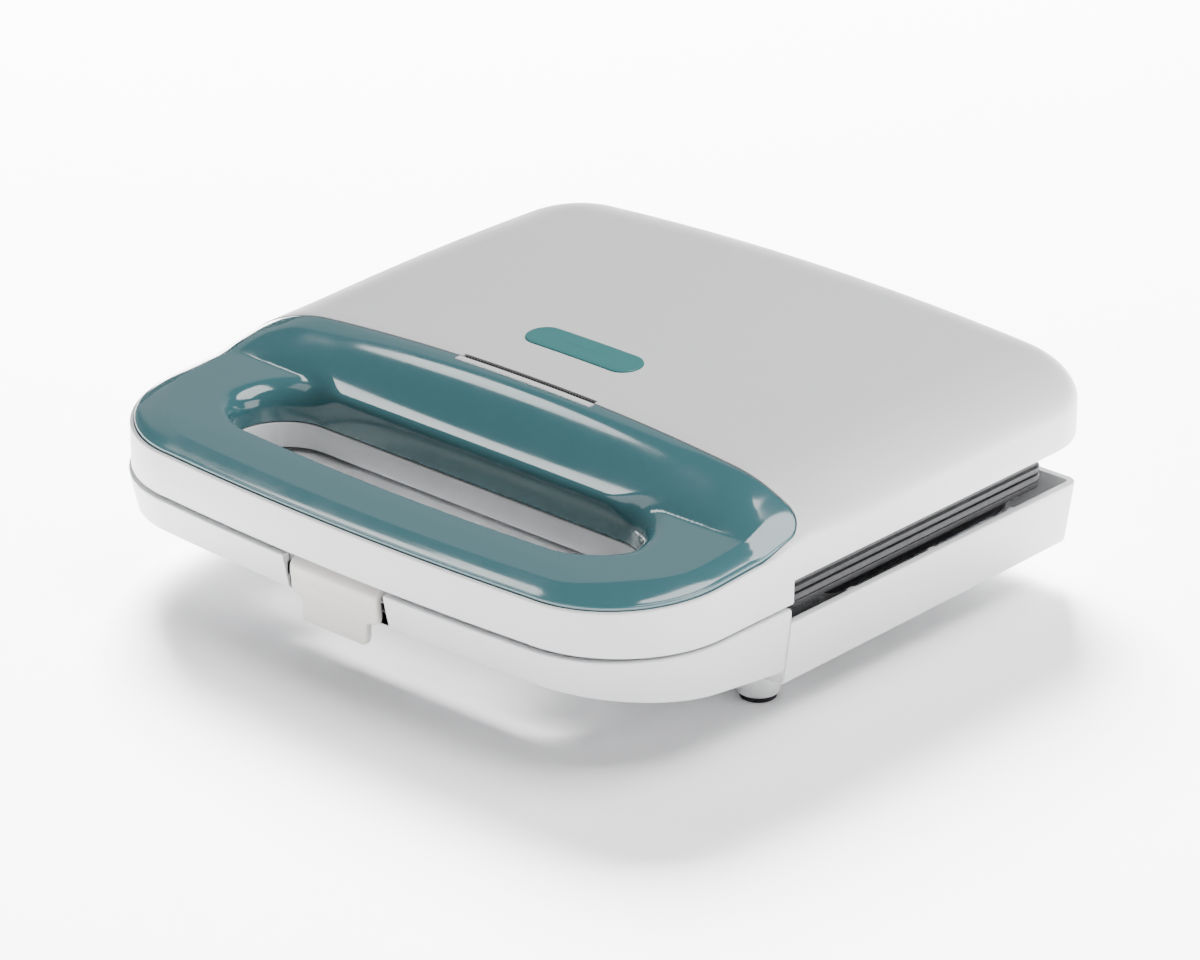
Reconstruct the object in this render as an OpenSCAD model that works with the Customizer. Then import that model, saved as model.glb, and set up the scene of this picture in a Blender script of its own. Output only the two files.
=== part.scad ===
// Two-slice sandwich toaster: a base tub, a hinged lid with a grip, and a swinging front latch.
// Millimetres, +Z up, the feet stand on z = 0, x = 0 is the plane of symmetry.
// Lengths from front to back start at the front of the seam between lid and base.

/* [Body] */
// Width of the lid
lid_w = 226; // [216:1:240]
// Depth of the lid, from the front of the seam to its back
lid_d = 224; // [218:1:236]
// Plan radius of the front corners
front_corner = 39.5; // [32:0.5:44]
// Plan radius of the back corners of the lid
back_corner = 28; // [20:1:34]
// Radius of the bow in the front face
front_bow = 1000; // [700:50:1600]
// Wall of the moulded shells
wall = 2.5; // [2:0.1:3]
// Height of the underside of the lid rim at the front
seam_z = 36.6; // [36:0.1:40]
// Gap between the lid rim and the base
seam_gap = 0.9; // [0.3:0.1:1.2]

/* [Lid crown] */
// Height of the crown where the grip cover ends
crown_z = 71.6; // [68:0.2:75]
// Rise of the crown from there to its highest line
crown_rise = 2.9; // [1:0.1:5]
// Drop of the crown from the middle to the sides
crown_drop = 5.6; // [3:0.2:8]
// Width of the rounded shoulder
shoulder_w = 30; // [22:1:34]
// Height of the rounded shoulder
shoulder_h = 14.5; // [10:0.5:18]
// Height of the lid's lower edge beside the plates
side_edge_z = 43.8; // [42.5:0.1:46]

/* [Grip] */
// Length of the grip from the front, where the plates begin
grip_d = 73; // [70:0.5:75]
// Height of the grip cover's edge at the front
cover_edge_z = 50.5; // [48:0.1:51]
// Rise of that edge towards the back
cover_edge_rise = 4; // [2:0.2:5]
// Height of the top of the grip at its front
grip_top_z = 51.8; // [51:0.1:53]
// Slope of the top of the grip
grip_slope = 0.09; // [0.05:0.01:0.12]
// Distance from the front to the back edge of the cover
cover_d = 82.8; // [81:0.2:86]
// Distance from the front to the foot of the slope behind the grip
slope_foot = 62; // [60:0.5:64]
// Width of the bevel round the cover
bevel_w = 9; // [6:0.5:12]
// Inset of the cover from the rim
cover_inset = 1.5; // [1:0.1:2]
// Thickness of the cover
cover_t = 2.4; // [2:0.1:2.8]
// Joint between the cover and the lid
cover_gap = 0.25; // [0.2:0.05:0.4]
// Half width of the finger slot in the lid
slot_half = 78; // [68:1:80]
// Distance from the front to the front of the slot
slot_front = 26.5; // [25:0.5:28]
// Length of the slot from front to back
slot_len = 30; // [27:0.5:31]
// Height of the step between the cover and the lid inside the slot
slot_step_z = 46; // [44:0.5:47]
// Half width of the finger slot in the base
base_slot_half = 58; // [52:1:76]

/* [Base] */
// How far the base stands proud of the lid
base_proud = 0.8; // [0:0.1:1]
// How far the lid stands out behind the base
lid_overhang = 17; // [14:0.5:18]
// Height of the base's underside
belly_z = 10.5; // [10:0.5:13]
// Height of the base's rim beside the plates
base_rim_z = 31.5; // [30:0.1:32]
// Height of the grip's underside at the front
grip_under_z = 23.7; // [23:0.1:26]
// Fall of the grip's underside towards the back
grip_under_fall = 0.13; // [0.08:0.01:0.15]
// Taper of the walls from the rim to the underside
base_taper = 2.4; // [2:0.1:5]
// Radius of the lower edge
belly_edge = 2; // [1:0.5:7]
// Radius of the foot at the floor
foot_r = 6; // [5:0.5:8]
// Radius of the foot where it meets the base
foot_root_r = 10; // [9:0.5:12]
// Distance of each front foot from the side of the lid
foot_in = 17.4; // [13:0.1:19]
// Distance of each back foot from the side of the lid
back_foot_in = 37; // [30:1:45]
// Distance of the base's step before the front of the plates' bay
step_lead = 1; // [0:0.1:2]
// Distance of the front feet behind the grip
foot_setback = 5.5; // [1:0.5:7]
// Distance of the back feet from the back of the base
foot_rear = 19; // [17:1:27]
// Thickness of the rubber pads
pad_t = 1.6; // [1:0.1:2.5]
// Bore of the cord inlet
inlet_bore = 7; // [6:0.1:8]
// Distance of the cord inlet from the side of the lid
inlet_in = 35; // [29:1:41]

/* [Plates] */
// Distance of the plates from the side of the lid
plate_in = 4; // [3:0.5:7]
// Distance of the plates from the grip
plate_front = 2; // [1.5:0.5:4]
// Room between the plates and the hinge pins
hinge_room = 7; // [6:0.5:11]
// Thickness of the plate castings
plate_t = 2.2; // [1.8:0.1:2.6]
// Depth of the sandwich pockets
pocket_depth = 10; // [7:0.5:11]
// Width of the plate's rim beside the pockets
pocket_rim = 5; // [3:1:11]
// Width of the plate's rim before and behind the pockets
pocket_margin = 8; // [6:0.5:12]
// Half width of the rib between the two sandwiches
rib_half = 4; // [3:0.5:5]
// Width of the ridge that cuts a sandwich in two
ridge = 7; // [5:0.5:9]
// Diameter of the tubular heater
heater_dia = 6.5; // [5:0.5:7]
// Gap between the two plates
plate_gap = 0.4; // [0.3:0.1:0.8]

/* [Hinge] */
// Distance of the hinge pins from the back of the base
hinge_in = 4; // [3.5:0.1:4.5]
// Height of the hinge pin
hinge_z = 36; // [35.8:0.1:36.4]
// Diameter of the hinge pin
hinge_pin_dia = 4; // [3:0.5:4.5]
// Radius of the hinge knuckles
knuckle_r = 4.4; // [4:0.1:4.5]
// Distance of each hinge from the side of the lid
hinge_side = 43; // [37:1:63]
// Width of the lid's knuckle
knuckle_w = 12; // [8:1:16]
// Width of each base knuckle
ear_w = 6; // [4:0.5:8]
// Side clearance between knuckles
ear_gap = 0.3; // [0.2:0.05:0.5]
// Diametral clearance of a running pin
pin_play = 0.06; // [0.02:0.01:0.1]

/* [Latch] */
// Width of the latch
latch_w = 35.7; // [30:0.1:37]
// Width of the finger lip
latch_lip_w = 26.8; // [20:0.1:28]
// Radius of the latch's rounded top
latch_r = 3.7; // [3.5:0.1:4]
// Height of the latch pin below the seam
latch_pin_drop = 4; // [3.9:0.1:4.4]
// Diameter of the latch pin
latch_pin_dia = 2; // [1.6:0.1:2.2]
// Height of the latch's lower end
latch_low_z = 16.8; // [16:0.1:19]
// How far the latch stands proud of the front
latch_proud = 0.7; // [0.4:0.1:3.2]
// Side clearance of the latch in the base
latch_gap = 2.75; // [1.5:0.05:3]

/* [Indicators and badge] */
// Half length of the indicator slit
lens_half = 26; // [20:1:30]
// Width of the indicator slit
lens_w = 1.9; // [1.5:0.1:3.5]
// Lip of the lid between the cover and the slit
lens_lip = 1.3; // [1:0.1:2]
// Length of the badge
badge_l = 44.5; // [30:0.5:48]
// Width of the badge
badge_w = 12.5; // [10:0.5:14]
// Distance from the front to the middle of the badge
badge_y = 107.8; // [100:0.1:115]

/* [Hidden] */

front_out = max(latch_proud, base_proud);
y0 = -(lid_d + front_out)/2 + front_out;
lid_a = lid_w/2;
base_a = lid_a + base_proud;
base_d = lid_d - lid_overhang;
hinge_y = base_d - hinge_in;
hinge_x = lid_a - hinge_side;
inlet_x = lid_a - inlet_in;
base_step = grip_d - step_lead;
front_foot = [lid_a - foot_in, grip_d + foot_setback];
back_foot = [lid_a - back_foot_in, base_d - foot_rear];
feet = [for (s = [-1, 1]) for (p = [front_foot, back_foot]) [s*p[0], p[1]]];
base_top = seam_z - seam_gap;
floor_t = wall;
step_w = 0.4;
nose_half = 28;
eps = 0.01;
fit_gap = 0.3;
cover_lip = 1;
tray_z = seam_z + 0.6;

plate_half = lid_a - plate_in;
plate_y0 = grip_d + plate_front;
plate_y1 = hinge_y - hinge_room;
pocket_y0 = plate_y0 + pocket_margin;
pocket_y1 = plate_y1 - pocket_margin;
bread = plate_half - rib_half - pocket_rim;
plate_screw_len = 9;
plate_mid = (plate_y0 + plate_y1)/2;
low_face = seam_z;
up_face = low_face + plate_gap;
low_back = low_face - pocket_depth - plate_t;
up_back = up_face + pocket_depth + plate_t;
flange_low = low_face - plate_t;
flange_up = up_face + plate_t;
post_x = plate_half - 49;
post_in = 3.1;
post_r = 2.5;
screw_dia = 3;
screw_hole = screw_dia + 0.1;
screw_head_r = 2.6;
screw_head_t = 1.6;

pin_z = seam_z - latch_pin_drop;
pin_y = latch_r - latch_proud;
notch_half = latch_w/2 + latch_gap;
latch_t = 2.3;
latch_step_z = 24.4;
lug_half = 5;
lug_r = 2.3;
lug_back = pin_y + latch_r + 3.4;
latch_lip_y = latch_t - latch_proud + 2.5;
notch_back = lug_back + 0.6;

leg = (plate_y1 - plate_y0)/2 - 30.5;
leg_end = plate_half - 29;
stub_len = 9;
stub_r = 1.5;
pan_half = leg_end + 12;
pan_edge = leg + 18;
sheet = 0.6;
lead_r = 1.2;
term_x = 15.5 - lid_a;
term_y = grip_d - 9;
lens_t = 4;
holder_h = 7;
lamp_x = lens_half/2;

function sq(v) = v*v;
function unit(t) = min(1, max(0, t));
function smooth(t) = let (c = unit(t)) c*c*(3 - 2*c);
function mix(a, b, t) = a + (b - a)*t;

// Depth of the bow between the middle of the front and the start of its corner.
function bow_sag(a, rf) = sq(a - rf)/(2*front_bow);

// Half width of a plan outline at a distance y from its front.
function half_w(y, a, d, rf, rr) =
  let (sag = bow_sag(a, rf))
  y < sag ? max(nose_half, sqrt(2*front_bow*max(0, y))) :
  y < sag + rf ? (a - rf) + sqrt(max(0, sq(rf) - sq(rf + sag - y))) :
  y <= d - rr ? a : (a - rr) + sqrt(max(0, sq(rr) - sq(y - d + rr)));

// Distance of a point inside the lid's plan from the edge of that plan.
function edge_dist(x, y) =
  let (
    fy = y - min(sq(x), sq(lid_a - front_corner))/(2*front_bow),
    rf = front_corner, rr = back_corner,
    qf = abs(x) - (lid_a - rf), qb = abs(x) - (lid_a - rr),
    back = y - (lid_d - rr)
  )
  y < lid_d/2
    ? (qf > 0 && fy < rf ? rf - sqrt(sq(qf) + sq(rf - fy)) : min(lid_a - abs(x), fy))
    : (qb > 0 && back > 0 ? rr - sqrt(sq(qb) + sq(back)) : min(lid_a - abs(x), lid_d - y));

// Height of the crown, before its shoulder is rounded.
function crown(x, y) =
  let (t = (y - cover_d)/(0.62*(lid_d - cover_d)))
  crown_z + crown_rise*(2*t - sq(t)) - crown_drop*sq(x/lid_a);

// Drop of the rounded shoulder at a distance e from the edge.
function shoulder(e) =
  let (s = 1 - unit(e/shoulder_w))
  shoulder_h*(1 - sqrt(1 - sq(s)));

// Height of the cover's edge along the grip.
function cover_edge(y) = cover_edge_z + cover_edge_rise*unit((y - 15)/45);

// Height of the grip's top, with the bevel round it.
function grip_top(y, e) =
  let (crest = grip_top_z + grip_slope*y)
  mix(cover_edge(y) + cover_lip, crest, unit((e - cover_inset)/bevel_w));

// Height of the outside of the lid and its cover.
function hood(x, y) =
  let (e = max(0, edge_dist(x, y)), s = smooth((y - slope_foot)/(cover_d - 3 - slope_foot)))
  mix(grip_top(y, e), crown(x, y) - shoulder(e), s);

// Places of the rows of a hood surface from front to back.
hood_sag = bow_sag(lid_a, front_corner);
corner_end = hood_sag + front_corner;
back_start = lid_d - back_corner;
front_rows = concat([0, 1.3, hood_sag],
  [for (i = [1:7]) hood_sag + front_corner*(1 - cos(i*90/7))]);
slope_rows = concat([for (i = [1:2]) mix(corner_end, slope_foot, i/2)],
  [for (i = [1:3]) mix(slope_foot, grip_d, i/3)], [grip_d + step_w],
  [for (i = [1:3]) mix(grip_d + step_w, cover_d, i/3)]);
crown_rows = concat([for (i = [1:6]) mix(cover_d, back_start, i/6)],
  [for (i = [1:7]) back_start + back_corner*sin(i*90/7)]);
columns = [-1, -0.993, -0.975, -0.94, -0.885, -0.81, -0.71, -0.58, -0.42, -0.22, 0,
  0.22, 0.42, 0.58, 0.71, 0.81, 0.885, 0.94, 0.975, 0.993, 1];

function hood_grid(rows, ins, drop) = [for (y = rows)
  let (yy = ins + y*(lid_d - 2*ins)/lid_d,
    w = half_w(yy - ins, lid_a - ins, lid_d - 2*ins, front_corner - ins, back_corner - ins))
  [for (u = columns) [w*u, yy + y0, hood(w*u, yy) - drop]]];

// Indices round the edge of a grid of m rows and n columns, counter-clockwise from above.
function rim_of(m, n) = concat([for (i = [0:n - 1]) i], [for (j = [1:m - 1]) j*n + n - 1],
  [for (i = [n - 2:-1:0]) (m - 1)*n + i], [for (j = [m - 2:-1:1]) j*n]);

// A shell under the hood surface, open below, its lower edge at low(y).
module hood_shell(rows, ins, t, lows) {
  m = len(rows);
  n = len(columns);
  grid_out = [for (r = hood_grid(rows, ins, 0)) each r];
  grid_in = [for (r = hood_grid(rows, ins + t, t)) each r];
  rim = rim_of(m, n);
  k = len(rim);
  low_out = [for (i = rim) [grid_out[i].x, grid_out[i].y, lows[floor(i/n)]]];
  low_in = [for (i = rim) [grid_in[i].x, grid_in[i].y, lows[floor(i/n)]]];
  b = m*n;
  top = [for (j = [0:m - 2]) for (i = [0:n - 2]) let (a = j*n + i)
    each [[a, a + n, a + n + 1], [a, a + n + 1, a + 1]]];
  roof = [for (j = [0:m - 2]) for (i = [0:n - 2]) let (a = b + j*n + i)
    each [[a, a + 1, a + n + 1], [a, a + n + 1, a + n]]];
  skirt = [for (i = [0:k - 1]) let (j = (i + 1)%k, p = 2*b + i, q = 2*b + j) each [
    [rim[i], rim[j], q], [rim[i], q, p],
    [p, q, q + k], [p, q + k, p + k],
    [b + rim[i], p + k, q + k], [b + rim[i], q + k, b + rim[j]]]];
  polyhedron(concat(grid_out, grid_in, low_out, low_in), concat(top, roof, skirt), convexity = 6);
}

// Right half of a plan outline inset by s, from front to back, with its step at g.
function half_plan(a, d, rf, rr, s, g) =
  let (aa = a - s, f = rf - s, r = max(0.6, rr - s), sag = bow_sag(aa, f))
  concat([[nose_half, 0], [sqrt(2*front_bow*1.3), 1.3]],
    [for (i = [0:8]) [aa - f + f*sin(i*90/8), sag + f*(1 - cos(i*90/8))]],
    [[aa, mix(sag + f, g - s, 0.6)], [aa, g - s], [aa, g + step_w - s],
      [aa, mix(g, d, 0.4)], [aa, mix(g, d, 0.8)]],
    [for (i = [0:5]) [aa - r + r*cos(i*90/5), d - 2*s - r + r*sin(i*90/5)]]);

function full_plan(h, s) = concat([for (p = h) [p.x, p.y + s + y0]],
  [for (i = [len(h) - 1:-1:0]) [-h[i].x, h[i].y + s + y0]]);

// Underside of the base at a distance y from the front.
function under(y) = y < base_step + step_w/2 ? grip_under_z - grip_under_fall*y : belly_z;
function tub_top(y) = y < base_step + step_w/2 ? base_top : base_rim_z;

// A closed tub whose underside and rim follow the rules above.
module tub() {
  outer = [[1, 0], [0.94, 0.05], [0.5, base_taper*0.5], [0.25, base_taper*0.8],
    [0.1, base_taper], [0.03, base_taper + belly_edge*0.3], [0, base_taper + belly_edge]];
  inner = [[0, base_taper + belly_edge + wall], [0.2, base_taper + wall], [1, wall]];
  rf = front_corner + base_proud;
  rr = belly_edge + 1;
  d = base_d + base_proud;
  h = full_plan(half_plan(base_a, d, rf, rr, 0, base_step), 0);
  n = len(h);
  function ring(t, s, lift) = let (g = full_plan(half_plan(base_a, d, rf, rr, s, base_step), s))
    [for (i = [0:n - 1]) let (y = h[i].y - y0)
      [g[i].x, g[i].y - base_proud, mix(under(y) + lift, tub_top(y), t)]];
  pts = concat([for (o = outer) each ring(o[0], o[1], 0)],
    [for (o = inner) each ring(o[0], o[1], floor_t)]);
  ro = len(outer);
  ri = len(inner);
  sides = [for (r = concat([for (k = [0:ro - 2]) k], [for (k = [0:ri - 2]) ro + k]))
    for (i = [0:n - 1]) let (j = (i + 1)%n, a = r*n + i, b = r*n + j)
    each [[a, b, b + n], [a, b + n, a + n]]];
  caps = [for (i = [0:n/2 - 2]) let (a = (ro - 1)*n, b = ro*n, p = n - 1 - i) each [
    [a + i, a + i + 1, a + p - 1], [a + i, a + p - 1, a + p],
    [b + i, b + p, b + p - 1], [b + i, b + p - 1, b + i + 1]]];
  top = (ro + ri - 1)*n;
  rim = [for (i = [0:n - 1]) let (j = (i + 1)%n)
    each [[i, top + i, top + j], [i, top + j, j]]];
  polyhedron(pts, concat(sides, caps, rim), convexity = 6);
}

// A profile given as [y from the front, z], extruded across the plane of symmetry.
module across(points, half) {
  rotate([90, 0, 90]) linear_extrude(2*half, center = true)
    polygon([for (p = points) [p[0] + y0, p[1]]]);
}

// A block between two corners, its y measured from the front.
module block(x0, x1, ya, yb, z0, z1) {
  translate([x0, ya + y0, z0]) cube([x1 - x0, yb - ya, z1 - z0]);
}

// A slot with round ends, long across the part.
module stadium(half, ya, len_y, z0, z1) {
  r = len_y/2;
  for (s = [-1, 1]) translate([s*(half - r), ya + r + y0, z0]) cylinder(r = r, h = z1 - z0, $fn = 48);
  block(-(half - r), half - r, ya, ya + len_y, z0, z1);
}

module post(x, y, r, z0, z1) {
  translate([x, y + y0, z0]) cylinder(r = r, h = z1 - z0, $fn = 32);
}

module rod_x(x0, x1, y, z, r) {
  translate([x0, y + y0, z]) rotate([0, 90, 0]) cylinder(r = r, h = x1 - x0, $fn = 32);
}

module rod_y(x, ya, yb, z, r) {
  translate([x, ya + y0, z]) rotate([-90, 0, 0]) cylinder(r = r, h = yb - ya, $fn = 32);
}

// A pan-head screw with its head at z and its shank towards dir.
module screw(x, y, z, length, dir) {
  if (dir > 0) {
    post(x, y, screw_dia/2, z + screw_head_t - eps, z + length);
    post(x, y, screw_head_r, z, z + screw_head_t);
  } else {
    post(x, y, screw_dia/2, z - length, z - screw_head_t + eps);
    post(x, y, screw_head_r, z - screw_head_t, z);
  }
}

// Places of the plate screws.
plate_posts = [for (x = [-post_x, post_x]) for (y = [plate_y0 + post_in, plate_y1 - post_in]) [x, y]];
deck_posts = [[-45, 13], [45, 13], [15 - lid_a, grip_d - 29], [lid_a - 15, grip_d - 29]];
cover_posts = [[-62, 16.5], [62, 16.5], [18 - lid_a, grip_d - 17], [lid_a - 18, grip_d - 17]];
deck_low = base_top - wall;
boss_r = 3.6;
gland_z = belly_z + floor_t + 7;
gland_r = inlet_bore/2 + 2.5;
tube_wall = 2;
gland_seat = base_d - base_taper*0.7;
gland_face = base_d - 0.6;
clamp_back = base_d - base_taper - belly_edge - wall - 0.4;
clamp_t = 4.8;
deck_gap = 1.4;
base_slot_y = slot_front + 1.5;
base_slot_len = slot_len - 0.7;

module plate_post_set(r, z0, z1) {
  for (p = plate_posts) post(p[0], p[1], r, z0, z1);
}

module base_shell() {
  color([0.86, 0.87, 0.87])
  difference() {
    union() {
      tub();
      // Wall round the finger slot.
      difference() {
        stadium(base_slot_half + tube_wall, base_slot_y - tube_wall, base_slot_len + 2*tube_wall,
          under(base_slot_y + base_slot_len) + 1, deck_low);
        stadium(base_slot_half, base_slot_y, base_slot_len, belly_z, base_top);
        across([[0, belly_z], [grip_d, belly_z], [grip_d, under(grip_d) + 1],
          [0, under(0) + 1]], base_slot_half + 5);
      }
      plate_post_set(post_r, belly_z + floor_t - eps, flange_low);
      for (p = deck_posts) post(p[0], p[1], boss_r, under(p[1]) + 1, deck_low);
      // Feet.
      for (p = feet) translate([p[0], p[1] + y0, pad_t])
        cylinder(r1 = foot_r + 0.4, r2 = foot_root_r, h = belly_z + 1 - pad_t, $fn = 48);
      // Locating ribs inside the rim.
      for (s = [-1, 1]) for (k = [0:2])
        block(s*(base_a - wall - 0.6) - 1, s*(base_a - wall - 0.6) + 1,
          mix(plate_y0, plate_y1, 0.21 + 0.31*k), mix(plate_y0, plate_y1, 0.21 + 0.31*k) + 3,
          base_rim_z - 8, base_rim_z - 0.6);
      // Hinge knuckles, standing on the back wall.
      for (s = [-1, 1]) for (k = [-1, 1]) let (m = s*hinge_x + k*(knuckle_w/2 + ear_gap + ear_w/2)) {
        rod_x(m - ear_w/2, m + ear_w/2, hinge_y, hinge_z, knuckle_r);
        block(m - ear_w/2, m + ear_w/2, base_d - wall - 3, base_d - 0.8, base_rim_z - 8, hinge_z);
      }
      // Lip that the latch hooks under, and the walls of its notch.
      block(-notch_half - wall, notch_half + wall, latch_lip_y, latch_lip_y + wall,
        grip_under_z - 1.1, grip_under_z + 4);
      block(-notch_half - wall, notch_half + wall, notch_back, notch_back + wall,
        grip_under_z + 1.5, deck_low);
      block(-notch_half - wall, notch_half + wall, latch_lip_y, notch_back + wall,
        grip_under_z + 1.5, grip_under_z + 4);
      for (s = [-1, 1]) block(s*(notch_half + wall/2) - wall/2, s*(notch_half + wall/2) + wall/2,
        base_taper - 0.5, notch_back + wall, grip_under_z + 1.2, deck_low);
    }
    stadium(base_slot_half, base_slot_y, base_slot_len, 0, seam_z + 1);
    for (p = plate_posts) post(p[0], p[1], screw_hole/2, flange_low - 9, flange_low + 1);
    for (p = deck_posts) {
      post(p[0], p[1], screw_hole/2, 0, deck_low + 1);
      post(p[0], p[1], screw_head_r + 0.3, 0, under(p[1]) + 3);
    }
    for (s = [-1, 1]) {
      rod_x(s*hinge_x - 30, s*hinge_x + 30, hinge_y, hinge_z, hinge_pin_dia/2);
      block(s*hinge_x - knuckle_w/2 - ear_gap, s*hinge_x + knuckle_w/2 + ear_gap,
        base_d - wall - 4, base_d + 1, base_rim_z - 4.6, base_rim_z + 1);
    }
    // Notch for the latch.
    block(-notch_half, notch_half, -base_proud - 1, latch_lip_y, belly_z, base_top + 1);
    block(-notch_half, notch_half, -base_proud - 1, notch_back, grip_under_z + 4, base_top + 1);
    // Cord inlet.
    rod_y(-inlet_x, base_d - 12, base_d + 3, gland_z, gland_r);
    rod_y(-inlet_x, gland_seat, base_d + 3, gland_z, gland_r + 1.7);
  }
}

// Right and left halves of a slab that fills a plan up to ymax.
module plan_slab(a, d, rf, s, shift, ymin, ymax, z0, z1) {
  h = [for (p = half_plan(a, d, rf, back_corner, s, grip_d)) if (p.y + s - shift < ymax) p];
  points = concat([for (p = h) [p.x, p.y + s - shift + y0]],
    ymax < d - back_corner ? [[a - s, ymax + y0]] : []);
  n = len(points);
  intersection() {
    translate([0, 0, z0]) linear_extrude(z1 - z0)
      polygon(concat(points, [for (i = [n - 1:-1:0]) [-points[i].x, points[i].y]]));
    block(-a, a, ymin, ymax + 1, z0 - 1, z1 + 1);
  }
}

// Panel that closes the top of the base round the finger slot.
module grip_deck() {
  color([0.86, 0.87, 0.87])
  difference() {
    plan_slab(base_a, base_d + base_proud, front_corner + base_proud, wall + deck_gap, base_proud,
      -5, base_step - 0.3, deck_low, base_top);
    stadium(base_slot_half, base_slot_y, base_slot_len, 0, seam_z + 1);
    block(-notch_half, notch_half, -5, notch_back, 0, seam_z + 1);
    for (p = deck_posts) post(p[0], p[1], screw_hole/2, deck_low - 1, base_top - 0.8);
  }
}

module deck_screws() {
  color([0.6, 0.6, 0.62])
  for (p = deck_posts) screw(p[0], p[1], under(p[1]) + 3 - screw_head_t,
    base_top - 1 - under(p[1]) - 3 + screw_head_t, 1);
}

module foot_pads() {
  color([0.12, 0.12, 0.13])
  for (p = feet) translate([p[0], p[1] + y0, 0])
    cylinder(r1 = foot_r - 0.5, r2 = foot_r, h = pad_t, $fn = 48);
}

// Right triangles of one sandwich, grown by g, as two polygons split by the ridge.
module pockets(g, z0, z1) {
  w = (pocket_y1 - pocket_y0);
  c = ridge/2*1.4;
  for (s = [-1, 1]) {
    xa = rib_half;
    xb = rib_half + bread;
    translate([0, y0, z0]) linear_extrude(z1 - z0) offset(delta = g)
      polygon([[s*xa, pocket_y0], [s*(xb - c), pocket_y0], [s*xa, pocket_y1 - c]]);
    translate([0, y0, z0]) linear_extrude(z1 - z0) offset(delta = g)
      polygon([[s*xb, pocket_y1], [s*(xa + c), pocket_y1], [s*xb, pocket_y0 + c]]);
  }
}

module plate_outline(s, z0, z1) {
  r = 5;
  x = plate_half - r - s;
  ya = plate_y0 + r + s;
  yb = plate_y1 - r - s;
  block(-x - r, x + r, ya, yb, z0, z1);
  block(-x, x, ya - r, yb + r, z0, z1);
  for (i = [-x, x]) for (j = [ya, yb]) post(i, j, r, z0, z1);
}

module lower_plate() {
  color([0.2, 0.2, 0.22])
  difference() {
    union() {
      plate_outline(0, flange_low, low_face);
      plate_outline(4, flange_low - 4, flange_low + eps);
      pockets(plate_t, low_back, flange_low + eps);
    }
    difference() {
      plate_outline(4 + plate_t, low_back - 1, flange_low);
      pockets(plate_t, low_back - 2, flange_low + 1);
    }
    pockets(0, low_back + plate_t, low_face + 1);
    for (p = plate_posts) {
      post(p[0], p[1], screw_hole/2, flange_low - 5, low_face + 1);
      post(p[0], p[1], post_r + 0.4, flange_low - 5, flange_low);
      post(p[0], p[1], screw_head_r + 0.2, low_face - screw_head_t, low_face + 1);
    }
  }
}

module upper_plate() {
  color([0.2, 0.2, 0.22])
  difference() {
    union() {
      plate_outline(0, up_face, flange_up);
      plate_outline(0.8, flange_up - eps, side_edge_z + 0.8);
      pockets(plate_t, flange_up - eps, up_back);
    }
    difference() {
      plate_outline(0.8 + plate_t, flange_up, side_edge_z + 2);
      pockets(plate_t, flange_up - 1, up_back + 1);
    }
    pockets(0, up_face - 1, up_back - plate_t);
    for (p = plate_posts) {
      post(p[0], p[1], screw_hole/2, up_face - 1, side_edge_z + 2);
      post(p[0], p[1], post_r + 0.4, flange_up, side_edge_z + 2);
      post(p[0], p[1], screw_head_r + 0.2, up_face - 1, up_face + screw_head_t);
    }
  }
}

module lower_plate_screws() {
  color([0.6, 0.6, 0.62])
  for (p = plate_posts) screw(p[0], p[1], low_face, plate_screw_len, -1);
}

module upper_plate_screws() {
  color([0.6, 0.6, 0.62])
  for (p = plate_posts) screw(p[0], p[1], up_face, plate_screw_len, 1);
}

// A U-shaped tubular heater with its two ends on the left.
module element(z) {
  r = heater_dia/2;
  for (s = [-1, 1]) {
    rod_x(-leg_end, leg_end - leg, plate_mid + s*leg, z, r);
    rod_x(-leg_end - stub_len, -leg_end + eps, plate_mid + s*leg, z, stub_r);
  }
  translate([leg_end - leg - eps, plate_mid + y0, z]) rotate([0, 0, -90])
    rotate_extrude(angle = 180, $fn = 64) translate([leg, 0]) circle(r = r, $fn = 24);
}

module lower_element() {
  color([0.45, 0.42, 0.4]) element(low_back - heater_dia/2 - 0.1);
}

module upper_element() {
  color([0.45, 0.42, 0.4]) element(up_back + heater_dia/2 + 0.1);
}

// A sheet pan round the heater, its open side against the plate at z.
module pan(z, dir) {
  depth = heater_dia + 2;
  za = dir > 0 ? z : z - depth;
  difference() {
    block(-pan_half, pan_half, plate_mid - pan_edge, plate_mid + pan_edge, za, za + depth);
    block(-pan_half + sheet, pan_half - sheet, plate_mid - pan_edge + sheet,
      plate_mid + pan_edge - sheet, dir > 0 ? za - 1 : za + sheet,
      dir > 0 ? za + depth - sheet : za + depth + 1);
    for (s = [-1, 1]) block(-pan_half - 1, -pan_half + 2, plate_mid + s*leg - 3, plate_mid + s*leg + 3,
      z - depth - 1, z + depth + 1 - (dir > 0 ? 2 : 0));
  }
}

module lower_reflector() {
  color([0.75, 0.75, 0.76]) pan(low_back, -1);
}

module upper_reflector() {
  color([0.75, 0.75, 0.76]) pan(up_back, 1);
}

module terminal_block() {
  color([0.82, 0.8, 0.72])
  difference() {
    block(term_x - 6, term_x + 6, term_y - 13, term_y + 5, term_z, term_z + 9);
    for (x = [-3, 3]) {
      rod_y(term_x + x, term_y - 5, term_y + 6, term_z + 4, 1.3);
      post(term_x + x, term_y - 4, 1.6, term_z + 5, term_z + 10);
    }
  }
}
// A lead made of straight runs with a ball at each bend.
module lead(points, r) {
  for (i = [0:len(points) - 2]) let (a = points[i], b = points[i + 1], v = b - a, l = norm(v))
    translate([a.x, a.y + y0, a.z]) rotate([0, acos(v.z/l), atan2(v.y, v.x)])
      cylinder(r = r, h = l, $fn = 12);
  for (i = [1:len(points) - 2]) translate([points[i].x, points[i].y + y0, points[i].z])
    sphere(r = 1.06*r, $fn = 12);
}

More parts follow.
